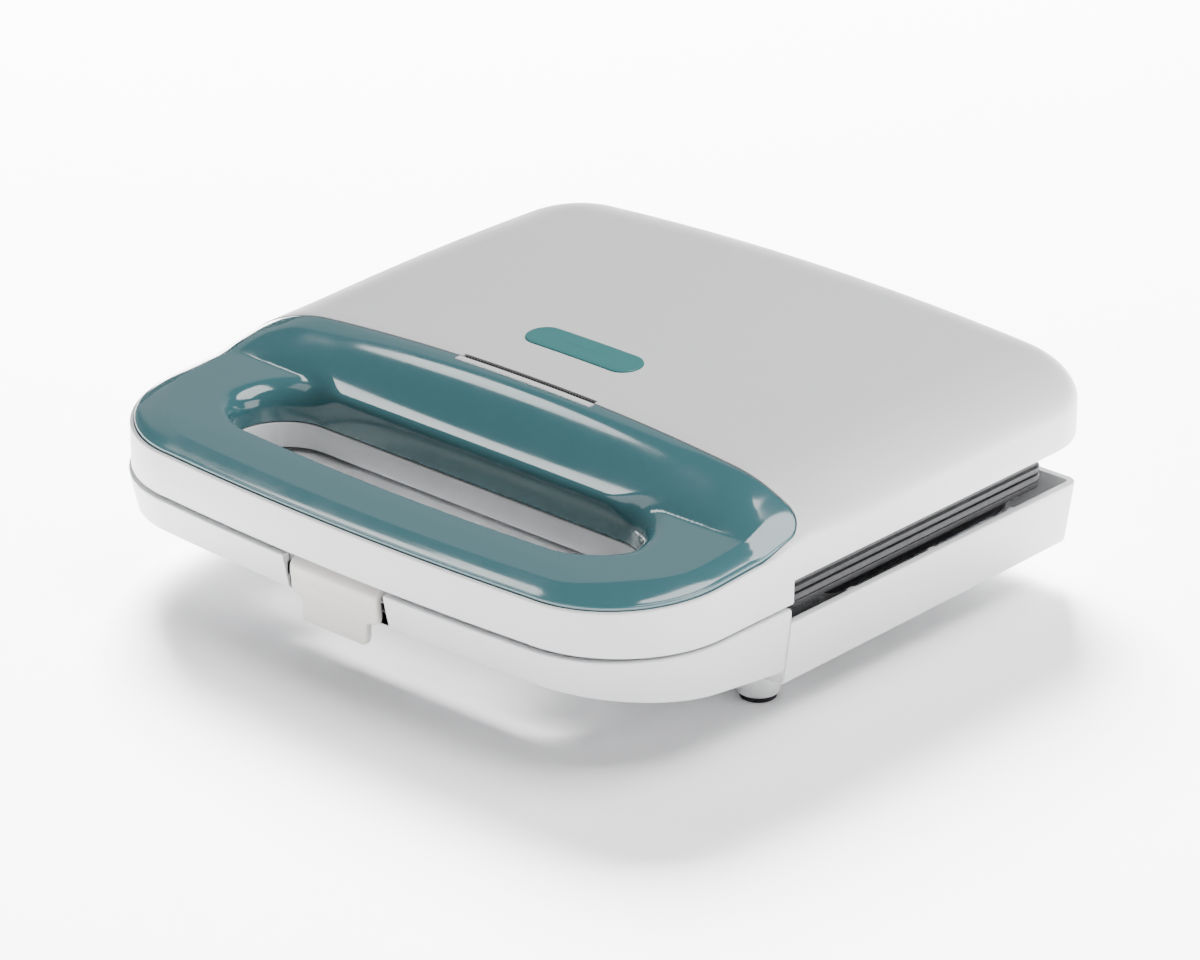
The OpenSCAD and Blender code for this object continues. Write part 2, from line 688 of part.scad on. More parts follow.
module base_wiring() {
  z = low_back - heater_dia/2 - 0.1;
  color([0.7, 0.2, 0.15])
  for (k = [0, 1])
    let (y = plate_mid + (1 - 2*k)*leg, x = -pan_half - 4 - 4*(1 - k), xt = term_x - 3 + 6*k,
      yt = term_y + 9 + 4*k, zt = term_z + 4)
    lead([[-leg_end - stub_len - 0.1, y, z], [x, y, z], [x, yt, z], [x, yt, zt], [xt, yt, zt],
      [xt, term_y - 4, zt]], lead_r);
}

module cord_gland() {
  color([0.14, 0.14, 0.15])
  difference() {
    union() {
      rod_y(-inlet_x, base_d - wall - 3, gland_face - 0.2, gland_z, gland_r - 0.05);
      rod_y(-inlet_x, gland_seat, gland_face, gland_z, gland_r + 1.6);
    }
    rod_y(-inlet_x, base_d - 20, base_d + 5, gland_z, inlet_bore/2);
  }
}

module cord_clamp() {
  color([0.82, 0.8, 0.72])
  difference() {
    block(-inlet_x - 11, -inlet_x + 11, clamp_back - clamp_t, clamp_back,
      belly_z + floor_t, gland_z + 5.6);
    rod_y(-inlet_x, clamp_back - clamp_t - 1, clamp_back + 1, gland_z, inlet_bore/2);
    for (x = [-8, 8]) post(-inlet_x + x, clamp_back - clamp_t/2, screw_hole/2,
      belly_z + floor_t - 1, gland_z + 7);
  }
}

module clamp_screws() {
  color([0.6, 0.6, 0.62])
  for (x = [-8, 8]) screw(-inlet_x + x, clamp_back - clamp_t/2, gland_z + 5.6 + screw_head_t, 10, -1);
}

module hinge_pins() {
  color([0.65, 0.65, 0.67])
  for (s = [-1, 1]) let (l = knuckle_w/2 + ear_gap + ear_w - 0.5)
    rod_x(s*hinge_x - l, s*hinge_x + l, hinge_y, hinge_z, hinge_pin_dia/2);
}

// Region of the grip cover as a profile, shrunk by g.
function cover_zone(g) = let (r = 12, n = 8, zc = cover_edge_z + cover_edge_rise) concat(
  [[-20, 120], [-20, cover_edge_z + g], [15, cover_edge_z + g],
    [60, cover_edge_z + cover_edge_rise + g]],
  [for (i = [0:n]) let (a = -90 + 90*i/n)
    [cover_d - r + (r - g)*cos(a), zc + r + (r - g)*sin(a)]],
  [[cover_d - g, 120]]);

lid_rows = concat(front_rows, slope_rows, crown_rows);
lid_lows = [for (y = lid_rows) y < grip_d + step_w/2 ? seam_z : side_edge_z];
boss_top = slot_step_z - 1;
lens_y = cover_d + lens_lip + lens_w/2;
lens_z = crown(lens_half, lens_y) - 0.3 - lens_t;
holder_z = lens_z - holder_h;
term_z = under(term_y - 13) + floor_t + 0.1;

module lid_shell() {
  color([0.88, 0.89, 0.89])
  difference() {
    union() {
      difference() {
        hood_shell(lid_rows, 0, wall, lid_lows);
        across(cover_zone(0), lid_w);
      }
      // Tray of the grip, the wall behind it and the shelf behind the plates.
      plan_slab(lid_a, lid_d, front_corner, wall - 0.9, 0, -5, grip_d - 0.3, tray_z, tray_z + wall);
      block(-lid_a + wall - 0.7, lid_a - wall + 0.7, grip_d - 1.2, grip_d + 1.2,
        tray_z, cover_edge_z - 0.5);
      plan_slab(lid_a, lid_d, front_corner, wall - 0.8, 0, plate_y1 + 1, lid_d,
        side_edge_z + 1, side_edge_z + 1 + wall);
      stadium(slot_half + tube_wall, slot_front - tube_wall, slot_len + 2*tube_wall, tray_z, slot_step_z);
      for (p = cover_posts) post(p[0], p[1], boss_r, tray_z, boss_top);
      for (p = plate_posts) {
        post(p[0], p[1], post_r, flange_up, p[1] < plate_mid ? cover_edge_z + 3 : hood(p[0], p[1]) - 1);
        if (p[1] < plate_mid) block(p[0] - 1, p[0] + 1, grip_d + 1, p[1], side_edge_z + 1.4, cover_edge_z);
      }
      // Knuckles of the hinge.
      for (s = [-1, 1]) {
        rod_x(s*hinge_x - knuckle_w/2, s*hinge_x + knuckle_w/2, hinge_y, hinge_z, knuckle_r);
        block(s*hinge_x - knuckle_w/2, s*hinge_x + knuckle_w/2, hinge_y - 3, hinge_y + knuckle_r,
          hinge_z, side_edge_z + 2);
      }
      // Lug that carries the latch pin.
      rod_x(-lug_half, lug_half, pin_y, pin_z, lug_r);
      block(-lug_half, lug_half, pin_y, lug_back, pin_z - 2, pin_z + 1);
      block(-lug_half, lug_half, lug_back - 3, lug_back, pin_z - 2, seam_z + 1);
    }
    stadium(slot_half, slot_front, slot_len, seam_z - 1, 90);
    rod_x(-lug_half - 1, lug_half + 1, pin_y, pin_z, (latch_pin_dia + pin_play)/2);
    for (s = [-1, 1])
      rod_x(s*hinge_x - 20, s*hinge_x + 20, hinge_y, hinge_z, (hinge_pin_dia + pin_play)/2);
    for (p = cover_posts) {
      post(p[0], p[1], screw_hole/2, seam_z - 1, boss_top + 1);
      post(p[0], p[1], screw_head_r + 0.3, seam_z - 1, seam_z + 2.4);
    }
    for (p = plate_posts) post(p[0], p[1], screw_hole/2, flange_up - 1, flange_up + 8);
    block(-lens_half - 0.1, lens_half + 0.1, lens_y - lens_w/2 - 0.1, lens_y + lens_w/2 + 0.1, 60, 90);
    badge_shape(0.15, crown(0, badge_y) - 1, 90);
  }
}

// The cover's shell over the grip, with the wall of the finger slot and its screw bosses.
module handle_cover() {
  color([0.33, 0.5, 0.51])
  difference() {
    union() {
      intersection() {
        hood_shell(lid_rows, cover_inset, cover_t, [for (y = lid_rows) cover_edge_z - 2]);
        across(cover_zone(cover_gap), lid_w);
      }
      intersection() {
        difference() {
          stadium(slot_half + tube_wall, slot_front - tube_wall, slot_len + 2*tube_wall,
            slot_step_z + cover_gap, 70);
          stadium(slot_half, slot_front, slot_len, slot_step_z - 1, 71);
        }
        across([[0, seam_z], [slope_foot, seam_z],
          [slope_foot, grip_top(slope_foot, 30) - 1], [0, grip_top_z - 1]], lid_w);
      }
      for (p = cover_posts) post(p[0], p[1], boss_r - 0.6, boss_top + 0.05, grip_top(p[1], 30) - 1);
    }
    stadium(slot_half, slot_front, slot_len, seam_z - 1, 90);
    for (p = cover_posts) post(p[0], p[1], screw_hole/2, seam_z, boss_top + 3.6);
  }
}

module cover_screws() {
  color([0.6, 0.6, 0.62])
  for (p = cover_posts) screw(p[0], p[1], seam_z + 2.4 - screw_head_t, boss_top + 3 - seam_z - 0.8, 1);
}

module badge_shape(g, z0, z1) {
  stadium(badge_l/2 + g, badge_y - badge_w/2 - g, badge_w + 2*g, z0, z1);
}

module badge() {
  color([0.36, 0.6, 0.6]) badge_shape(0, crown(0, badge_y) - 1, crown(0, badge_y) + 0.6);
}

module indicator_lens() {
  color([0.1, 0.1, 0.11])
  block(-lens_half, lens_half, lens_y - lens_w/2, lens_y + lens_w/2, lens_z, lens_z + lens_t);
}

module lamp_holder() {
  color([0.25, 0.25, 0.27])
  difference() {
    block(-lens_half - 2, lens_half + 2, lens_y - 3.6, lens_y + 3.6, holder_z, lens_z);
    for (s = [-1, 1]) {
      rod_x(s*lamp_x - 7.1, s*lamp_x + 7.1, lens_y, lens_z - 3.4, 2.6);
      block(s*lamp_x - 7.1, s*lamp_x + 7.1, lens_y - 2.6, lens_y + 2.6, lens_z - 3.4, lens_z + 1);
    }
  }
}

module lamp(x) {
  rod_x(x - 6, x + 6, lens_y, lens_z - 3.4, 2.5);
  rod_x(x - 7, x + 7, lens_y, lens_z - 3.4, 1);
}

module power_lamp() {
  color([0.8, 0.25, 0.15]) lamp(-lamp_x);
}

module ready_lamp() {
  color([0.25, 0.6, 0.3]) lamp(lamp_x);
}

module thermostat() {
  color([0.7, 0.68, 0.62]) {
    post(34, plate_mid + 4, 8, up_back, up_back + 6);
    block(30, 38, plate_mid - 8, plate_mid - 2, up_back, up_back + 1);
  }
}

module thermal_fuse() {
  color([0.78, 0.78, 0.8]) {
    rod_x(-40, -30, plate_mid - 14, up_back + 2, 2);
    block(-37, -33, plate_mid - 16, plate_mid - 12, up_back, up_back + 0.8);
  }
}

module lid_wiring() {
  z = up_back + heater_dia/2 + 0.1;
  x = -pan_half - 3.4;
  color([0.7, 0.2, 0.15]) {
    lead([[-leg_end - stub_len - 0.1, plate_mid + leg, z], [x, plate_mid + leg, z], [x, plate_y1 + 5, z],
      [-48, plate_y1 + 5, z - 2]], lead_r);
    lead([[-leg_end - stub_len - 0.1, plate_mid - leg, z], [x, plate_mid - leg, z], [x, plate_y0 + 10, z],
      [-30, plate_y0 + 10, z]], lead_r);
  }
}

module latch() {
  color([0.8, 0.79, 0.75])
  difference() {
    union() {
      rod_x(-latch_w/2, latch_w/2, pin_y, pin_z, latch_r);
      block(-latch_w/2, latch_w/2, -latch_proud, latch_t - latch_proud, latch_step_z, pin_z);
      block(-latch_lip_w/2, latch_lip_w/2, -latch_proud, latch_t - latch_proud,
        latch_low_z + 1, latch_step_z + 1);
      rod_x(-latch_lip_w/2, latch_lip_w/2, latch_t/2 - latch_proud, latch_low_z + latch_t/2, latch_t/2);
      // Nose that hooks under the lip of the base.
      block(-9, 9, latch_t - latch_proud - 0.2, latch_lip_y - 0.4,
        grip_under_z - 4, grip_under_z - 1.6);
    }
    rod_x(-latch_w, latch_w, pin_y, pin_z, latch_pin_dia/2);
    rod_x(-lug_half - fit_gap, lug_half + fit_gap, pin_y, pin_z, lug_r + fit_gap);
    block(-lug_half - fit_gap, lug_half + fit_gap, pin_y - 1.2, pin_y + 6, pin_z - 2.9, pin_z + 5);
  }
}
module latch_pin() {
  color([0.65, 0.65, 0.67]) rod_x(-latch_w/2 + 0.4, latch_w/2 - 0.4, pin_y, pin_z, latch_pin_dia/2);
}

base_shell();
grip_deck();
deck_screws();
foot_pads();
lower_plate();
lower_plate_screws();
lower_element();
lower_reflector();
terminal_block();
base_wiring();
cord_gland();
cord_clamp();
clamp_screws();
hinge_pins();
lid_shell();
handle_cover();
cover_screws();
badge();
indicator_lens();
lamp_holder();
power_lamp();
ready_lamp();
upper_plate();
upper_plate_screws();
upper_element();
upper_reflector();
thermostat();
thermal_fuse();
lid_wiring();
latch();
latch_pin();
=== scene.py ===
"""Looks for a two-slice sandwich toaster: moulded shells, gloss grip, latch, plates and light."""
import math

import bmesh
import bpy
from mathutils import Matrix, Vector


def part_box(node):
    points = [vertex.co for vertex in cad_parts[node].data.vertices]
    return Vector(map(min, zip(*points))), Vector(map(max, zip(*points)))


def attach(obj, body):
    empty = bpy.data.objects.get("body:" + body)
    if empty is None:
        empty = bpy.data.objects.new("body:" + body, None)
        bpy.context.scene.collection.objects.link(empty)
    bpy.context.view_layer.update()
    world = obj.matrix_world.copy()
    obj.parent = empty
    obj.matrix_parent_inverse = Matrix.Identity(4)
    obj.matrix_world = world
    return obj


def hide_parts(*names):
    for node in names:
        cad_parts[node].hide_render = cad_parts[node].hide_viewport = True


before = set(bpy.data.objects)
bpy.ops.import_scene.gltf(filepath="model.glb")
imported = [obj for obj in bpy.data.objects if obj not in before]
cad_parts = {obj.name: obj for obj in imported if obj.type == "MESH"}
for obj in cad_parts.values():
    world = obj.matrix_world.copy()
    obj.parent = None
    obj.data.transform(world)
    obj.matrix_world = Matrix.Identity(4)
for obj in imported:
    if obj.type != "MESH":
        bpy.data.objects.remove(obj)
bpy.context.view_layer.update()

# -------- sizes, in millimetres
# Depths are measured from the front of the seam between lid and base, heights from the floor.
# A pair named _RANGE is where a change along the depth or the width starts and ends.
MM = 0.001
WALL = 2.5
LID_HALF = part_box("lid_shell")[1].x / MM
LID_DEPTH = 224.0
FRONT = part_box("lid_shell")[1].y / MM - LID_DEPTH   # the seam's front in the frame
BASE_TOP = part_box("grip_deck")[1].z / MM
DECK_LOW = BASE_TOP - WALL
SEAM_GAP = 0.9
SEAM = BASE_TOP + SEAM_GAP
BASE_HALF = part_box("base_shell")[1].x / MM
BASE_PROUD = BASE_HALF - LID_HALF
BASE_DEPTH = 207.0 + BASE_PROUD
GRIP_DEPTH, LID_STEP, BASE_STEP = 73.0, 73.2, 71.3
FRONT_CORNER, BACK_CORNER, BASE_BACK_CORNER, BOW = 39.5, 28.0, 4.0, 1000.0
BASE_CORNER = FRONT_CORNER + BASE_PROUD
SIDE_EDGE, BASE_RIM, BELLY = 43.8, 31.5, 10.5
UNDER, UNDER_FALL = 23.7, 0.13
STEP_IN_R, STEP_OUT_R = 0.5, 0.8

# The grip's cover: its edge, its flat top with a bevel round it, and the slope behind it.
COVER_EDGE, COVER_RISE, COVER_RISE_RANGE = 50.5, 3.1, (5, 58)
COVER_INSET, COVER_LIP, COVER_WALL = 1.5, 1.0, 2.4
COVER_DEPTH, COVER_BOW, COVER_TURN = 82.9, 2.3, 8.0
COVER_SUNK, SUNK_RANGE = 0.25, (71, 80)
GRIP_TOP, GRIP_SLOPE, GRIP_SWELL, SWELL_RANGE = 53.2, 0.07, 0.5, (6, 20)
BEVEL_WIDTH, BEVEL_MORE, BEVEL_EVEN, BEVEL_CURVED = 7.0, 3.5, 0.7, 0.3
SLOPE_FOOT, SLOPE_TOP, SIDE_FOOT, SIDE_POWER, SIDE_RANGE = 55.3, 80.5, 60.5, 1.5, (62, 74)
TIP_LIFT, TIP_WIDTH, TIP_RANGE = 0.27, 14, (76, 106)
GAP = 0.16                       # between the cover and the lid's skin

# The lid's skin.
CROWN, CROWN_RISE, CROWN_DROP, CROWN_REACH = 71.6, 2.87, 5.6, 0.62
SHOULDER_W, SHOULDER_H = 30.0, 14.5
FRONT_RANGE = (60, 74)
SKIN_ROUND, SKIN_DEEPER, DEEPER_RANGE = 0.6, 2.8, (79, 89)
TRAY = SEAM + 0.6

hinge_low, hinge_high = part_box("hinge_pins")
HINGE = (hinge_low + hinge_high) / 2 / MM
HINGE_X, KNUCKLE_R, PIN_ROOM = 70.0, 4.4, 2.03
pin_low, pin_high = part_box("latch_pin")
PIN = (pin_low + pin_high) / 2 / MM
PIN_DEPTH = PIN.y - FRONT
latch_low, latch_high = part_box("latch")
LATCH_HALF, LATCH_LOW = latch_high.x / MM, latch_low.z / MM
LATCH_FACE = latch_low.y / MM - FRONT
NOTCH = LATCH_HALF + 2.75
NOTCH_SILL, NOTCH_LIP, NOTCH_BACK = UNDER + 4, 4.1, 10.7

plate_low, plate_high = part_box("lower_plate")
PLATE_HALF = plate_high.x / MM
PLATE_FRONT, PLATE_BACK = plate_low.y / MM - FRONT, plate_high.y / MM - FRONT
LOWER_FACE, UPPER_FACE = plate_high.z / MM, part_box("upper_plate")[0].z / MM
PLATE_T = 2.2


# -------- curves
def at(x, y, z):
    """A place from x, the depth y and the height z."""
    return Vector((x, y + FRONT, z)) * MM


def unit(t):
    return min(1.0, max(0.0, t))


def smooth(t):
    t = unit(t)
    return t * t * (3 - 2 * t)


def mix(a, b, t):
    return a + (b - a) * t


def share(v, span):
    return unit((v - span[0]) / (span[1] - span[0]))


def ease(v, span):
    """0 before a span and 1 after it, soft at both ends."""
    return smooth((v - span[0]) / (span[1] - span[0]))


def turn(deg, r):
    return r * math.cos(math.radians(deg)), r * math.sin(math.radians(deg))


def arc(r, *degrees):
    return [turn(deg, r) for deg in degrees]


def rounding(e, r):
    """Drop of an edge rounded with radius r at a distance e from its side."""
    return r - math.sqrt(max(0.0, r * r - (r - min(e, r)) ** 2))


# -------- the lid's surface
def bow_sag(x):
    """How far the bowed front falls back at x."""
    return min(abs(x), LID_HALF - FRONT_CORNER) ** 2 / (2 * BOW)


def edge_dist(x, y):
    """Distance of a point inside the lid's plan from the plan's edge."""
    x = abs(x)
    fy = y - bow_sag(x)
    qf, qb = x - (LID_HALF - FRONT_CORNER), x - (LID_HALF - BACK_CORNER)
    back = y - (LID_DEPTH - BACK_CORNER)
    if y < LID_DEPTH / 2:
        if qf > 0 and fy < FRONT_CORNER:
            return FRONT_CORNER - math.hypot(qf, FRONT_CORNER - fy)
        return min(LID_HALF - x, fy)
    if qb > 0 and back > 0:
        return BACK_CORNER - math.hypot(qb, back)
    return min(LID_HALF - x, LID_DEPTH - y)


def crown(x, y):
    """Height of the crown, domed both ways."""
    t = (y - COVER_DEPTH) / (CROWN_REACH * (LID_DEPTH - COVER_DEPTH))
    return CROWN + CROWN_RISE * (2 * t - t * t) - CROWN_DROP * (x / LID_HALF) ** 2


def shoulder(e):
    """Drop of the lid's shoulder at a distance e from its side."""
    s = 1 - unit(e / SHOULDER_W)
    return SHOULDER_H * (1 - math.sqrt(1 - s * s))


def cover_edge(y):
    """Height of the cover's edge, rising backwards."""
    return COVER_EDGE + COVER_RISE * share(y, COVER_RISE_RANGE)


def bevel_width(x, y):
    """Width of the cover's bevel, larger round the corners."""
    across = abs(x) - (LID_HALF - FRONT_CORNER)
    along = FRONT_CORNER + bow_sag(x) - y
    if across <= 0 or along <= 0:
        return BEVEL_WIDTH
    return BEVEL_WIDTH + BEVEL_MORE * math.sin(2 * math.atan2(along, across)) ** 2


def grip_top(x, y, e):
    """The cover's flat top with the bevel round it, steeper towards its edge."""
    crest = GRIP_TOP + GRIP_SLOPE * y + GRIP_SWELL * ease(y, SWELL_RANGE)
    u = 1 - unit((e - COVER_INSET) / bevel_width(x, y))
    return mix(crest, cover_edge(y) + COVER_LIP, BEVEL_EVEN * u + BEVEL_CURVED * u ** 3)


def slope_share(x, y):
    """How far up the slope a point is: soft behind the slot, creased beside it."""
    behind = ease(y, (SLOPE_FOOT, SLOPE_TOP))
    beside = 1 - (1 - share(y, (SIDE_FOOT, SLOPE_TOP))) ** SIDE_POWER
    return mix(behind, beside, ease(abs(x), SIDE_RANGE))


def hood(x, y):
    """Height of the lid and its cover, a little fuller at the cover's tips."""
    e = max(0.0, edge_dist(x, y))
    tip = TIP_LIFT * (1 - ease(y, TIP_RANGE)) * (1 - unit(e / TIP_WIDTH))
    return mix(grip_top(x, y, e), crown(x, y) - shoulder(e) * (1 - tip), slope_share(x, y))


def cover_top(x, y):
    """Top of the grip's cover, a little sunk along its back edge."""
    return hood(x, y) - COVER_SUNK * ease(y, SUNK_RANGE)


def cover_inside(x, y):
    return hood(x, y) - COVER_WALL


def frontness(y):
    """1 along the grip, 0 behind it."""
    return 1 - ease(y, FRONT_RANGE)


def lip_top(x, y):
    """Top of the lid's own skin, a lip lower than the cover along the grip."""
    return hood(x, y) - COVER_LIP * frontness(y)


def skin_top(x, y):
    return lip_top(x, y) - frontness(y) * rounding(max(0.0, edge_dist(x, y)), SKIN_ROUND)


def skin_inside(x, y):
    return hood(x, y) - WALL - SKIN_DEEPER * (1 - ease(y, DEEPER_RANGE))


def step_height(y, step, near, far):
    """An edge at height near before a step and far behind it, corners rounded."""
    way = 1 if far > near else -1
    if y <= step:
        return near + way * rounding(step - y, STEP_IN_R)
    return far - way * rounding(y - step, STEP_OUT_R)


def under_front(y):
    return UNDER - UNDER_FALL * y


# -------- loops round the part
# Every loop has the same stations, counted along its right half in these segments: the front, its
# corner, the grip's side, the step, the side beside the plates, the back corner and the back.
AHEAD, CORNER, SIDE, STEP, BESIDE, REAR_CORNER, BACK, MIDDLE = range(8)
STEP_PLACES = (-7, -4, -2, -1, -0.5, -0.3, -0.15, -0.05, 0, 0.03, 0.2, 0.45, 0.8, 1.4, 2.5, 4.5)
STEP_REACH = 7
STEPS = (14, 24, 10, len(STEP_PLACES), 36, 24, 14)
HALF_COUNT = sum(STEPS) + 1
SIDE_START, STEP_START = sum(STEPS[:SIDE]), sum(STEPS[:STEP])
TIP_SPLIT, TIP_SHARE = 30, 0.25          # the tip's first degrees, and its share of the next segment
COVER_PLACES, PANEL_PLACES, PANEL_TURN = (74, 46), (76, 50), 1.5

# By segment, the parts of a finger slot's edge: (start in the segment, part, from, to). The front
# and the back are counted in shares of their right half, the round end in degrees.
SLOT_PATH = {
    AHEAD: [(0, "front", 0, 0.84)], CORNER: [(0, "front", 0.84, 1), (1 / 6, "end", -90, -20)],
    SIDE: [(0, "end", -20, 5)], STEP: [(0, "end", 5, 35)],
    BESIDE: [(0, "end", 35, 90), (0.6, "back", 1, 0.82)],
    REAR_CORNER: [(0, "back", 0.82, 0.5)], BACK: [(0, "back", 0.5, 0)], MIDDLE: [(0, "back", 0, 0)],
}


def stations():
    """(segment, share of it) for each point of a right half."""
    return [(i, k / n) for i, n in enumerate(STEPS) for k in range(n)] + [(MIDDLE, 0.0)]


def whole(half):
    """A closed loop from its right half: front middle to back middle, then mirrored back."""
    return half + [(-x, y) for x, y in half[-2:0:-1]]


def outline(inset, a=LID_HALF, d=LID_DEPTH, rf=FRONT_CORNER, rr=BACK_CORNER, ahead=0.0, step=LID_STEP):
    """The plan of a shell, taken in by inset and moved ahead."""
    a, d, rf, rr = a - inset, d - inset, rf - inset, max(0.5, rr - inset)
    side_start = inset + (a - rf) ** 2 / (2 * BOW) + rf
    step += ahead
    half = []
    for i, (seg, t) in enumerate(stations()):
        if seg == AHEAD:
            p = ((a - rf) * t, inset + ((a - rf) * t) ** 2 / (2 * BOW))
        elif seg == CORNER:
            cx, cy = turn(90 * t, rf)
            p = (a - rf + cy, side_start - cx)
        elif seg == SIDE:
            p = (a, mix(side_start, step - STEP_REACH, t))
        elif seg == STEP:
            p = (a, step + STEP_PLACES[i - STEP_START])
        elif seg == BESIDE:
            p = (a, mix(step + STEP_REACH, d - rr, t))
        elif seg == REAR_CORNER:
            cx, cy = turn(90 * t, rr)
            p = (a - rr + cx, d - rr + cy)
        else:
            p = ((a - rr) * (1 - t) if seg == BACK else 0.0, d)
        half.append((p[0], p[1] - ahead))
    return whole(half)


def base_line(inset):
    return outline(inset, BASE_HALF, BASE_DEPTH, BASE_CORNER, BASE_BACK_CORNER, BASE_PROUD, BASE_STEP)


def back_place(seg, t, start, places):
    """x along a back edge: from start to the first place, the second place and the middle."""
    far, near = places
    return {BESIDE: mix(start, far, t), REAR_CORNER: mix(far, near, t), BACK: mix(near, 0, t), MIDDLE: 0}[seg]


def cover_back(x):
    return COVER_DEPTH - COVER_BOW * (x / 100) ** 2


def close_plan(half, g, side, r, back, places, split=90, tip=0.0):
    """Closes a plan's front by a back edge, turning the corner in STEP and the start of BESIDE."""
    start = half[SIDE_START][1]
    xc = side - r
    yc = back(xc) + g - r
    for i, (seg, t) in enumerate(stations()):
        if seg == SIDE:
            half[i] = (side, mix(start, yc, t))
        elif seg == STEP or (seg == BESIDE and t < tip):
            cx, cy = turn(split * t if seg == STEP else mix(split, 90, t / tip), r)
            half[i] = (xc + cx, yc + cy)
        elif seg >= BESIDE:
            x = back_place(seg, (t - tip) / (1 - tip) if seg == BESIDE else t, xc, places)
            half[i] = (x, back(x) + g)
    return whole(half)


def cover_line(g):
    """The edge of the grip's cover in plan, moved outwards by g."""
    inset = COVER_INSET - g
    half = outline(inset)[:HALF_COUNT]
    return close_plan(half, g, LID_HALF - inset, COVER_TURN + g, cover_back, COVER_PLACES, TIP_SPLIT,
                      TIP_SHARE)


def panel_line(g, back, a, ahead=0.0, rf=FRONT_CORNER):
    """The front half of a plan with a straight back edge, moved outwards by g."""
    half = outline(-g, a=a, rf=rf, ahead=ahead)[:HALF_COUNT]
    return close_plan(half, g, a + g, PANEL_TURN, lambda x: back, PANEL_PLACES)


def slot_line(g, half_x=78.0, y=23.6, length=32.9, bow=2.0):
    """The edge of the lid's finger slot, moved outwards by g; its front is bowed."""
    r = length / 2
    straight, mid = half_x - r, y + r
    r += g

    def point(part, v):
        if part == "front":
            return (v * straight, mid - r + bow * v ** 2)
        if part == "back":
            return (v * straight, mid + r)
        cx, cy = turn(v, r)
        return (straight + cx, mid + cy * ((r - bow) / r if cy < 0 else 1))
    half = []
    for seg, t in stations():
        starts = [start for start, *_ in SLOT_PATH[seg]] + [1]
        i = sum(start <= t for start in starts) - 1
        part, a, b = SLOT_PATH[seg][i][1:]
        half.append(point(part, mix(a, b, (t - starts[i]) / (starts[i + 1] - starts[i]))))
    return whole(half)


def base_slot(g):
    """The edge of the base's finger slot, moved outwards by g."""
    return slot_line(g, 58.0, 28.0, 29.3, 0.0)


def between(a, b, t):
    return [(mix(p[0], q[0], t), mix(p[1], q[1], t)) for p, q in zip(a, b)]


def fan(a, b, n, power=1.0):
    """Loops from a to b, closer together towards b where power is over 1."""
    return [between(a, b, 1 - (1 - k / n) ** power) for k in range(n + 1)]


def raise_to(loop, height):
    """A ring over a plan loop; height is a number or a rule of x and y."""
    return [at(x, y, height(x, y) if callable(height) else height) for x, y in loop]


def raise_all(loops, height):
    return [raise_to(loop, height) for loop in loops]


def stack(line, section):
    """Rings along a plan line; each pair says how far one is moved, and its height."""
    return [raise_to(line(offset), height) for offset, height in section]


def over(loop, heights):
    return [at(x, y, z) for (x, y), z in zip(loop, heights)]


def shift(values, d):
    return [v + d for v in values]


def follow(line, heights, section):
    """Rings along a plan line, moved and raised by the pairs of a section."""
    return [over(line(offset), shift(heights, rise)) for offset, rise in section]


# -------- making meshes
PIECE_ANGLE, CUT_ANGLE = 40, 35


def loft(rings, closed=True):
    """Extrudes a ring through places, and bridges the last to the first or caps both."""
    bm = bmesh.new()
    n = len(rings[0])
    first = bmesh.ops.create_circle(bm, segments=n)["verts"]
    for v, p in zip(first, rings[0]):
        v.co = p
    verts = first
    for ring in rings[1:]:
        edges = [bm.edges.get((verts[i], verts[(i + 1) % n])) for i in range(n)]
        new = bmesh.ops.extrude_edge_only(bm, edges=edges)["geom"]
        fresh = set(g for g in new if isinstance(g, bmesh.types.BMVert))
        verts = [next(e.other_vert(v) for e in v.link_edges if e.other_vert(v) in fresh) for v in verts]
        for v, p in zip(verts, ring):
            v.co = p
    open_edges = [e for e in bm.edges if len(e.link_faces) < 2]
    if closed:
        bmesh.ops.bridge_loops(bm, edges=open_edges)
    else:
        bmesh.ops.holes_fill(bm, edges=open_edges, sides=0)
    return bm


def link(name, data):
    obj = bpy.data.objects.new(name, data)
    bpy.context.scene.collection.objects.link(obj)
    return obj


def to_mesh(name, bm):
    mesh = bpy.data.meshes.new(name)
    bm.to_mesh(mesh)
    bm.free()
    return mesh


def soften(mesh, angle):
    """Smooth faces, sharp where they meet at more than the angle."""
    for p in mesh.polygons:
        p.use_smooth = True
    mesh.set_sharp_from_angle(angle=math.radians(angle))


def finish_piece(bm, name, body, material):
    """Makes a piece that rides on its body: welded, faces outwards, smooth."""
    bmesh.ops.remove_doubles(bm, verts=bm.verts, dist=0.004 * MM)
    bmesh.ops.dissolve_degenerate(bm, edges=bm.edges, dist=0.001 * MM)
    bmesh.ops.recalc_face_normals(bm, faces=bm.faces)
    mesh = to_mesh(name, bm)
    soften(mesh, PIECE_ANGLE)
    mesh.materials.append(material)
    obj = link(name, mesh)
    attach(obj, body)
    return obj


def stand_for(node, slot, *pieces):
    """Hides the node that the pieces stand in for; slot is not used."""
    for piece in pieces:
        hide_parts(node)


def add_block(bm, x0, x1, ya, yb, z0, z1, edge=0.4):
    """A block with rounded edges between two corners."""
    new = bmesh.ops.create_cube(bm, size=1)["verts"]
    lo, hi = at(x0, ya, z0), at(x1, yb, z1)
    bmesh.ops.scale(bm, vec=hi - lo, verts=new)
    bmesh.ops.translate(bm, vec=(lo + hi) / 2, verts=new)
    if edge:
        edges = list({e for v in new for e in v.link_edges})
        bmesh.ops.bevel(bm, geom=edges, offset=edge * MM, segments=2, profile=0.5, affect="EDGES",
                        material=-1)


def join(bm, other):
    held = to_mesh("held", other)
    bm.from_mesh(held)
    bpy.data.meshes.remove(held)


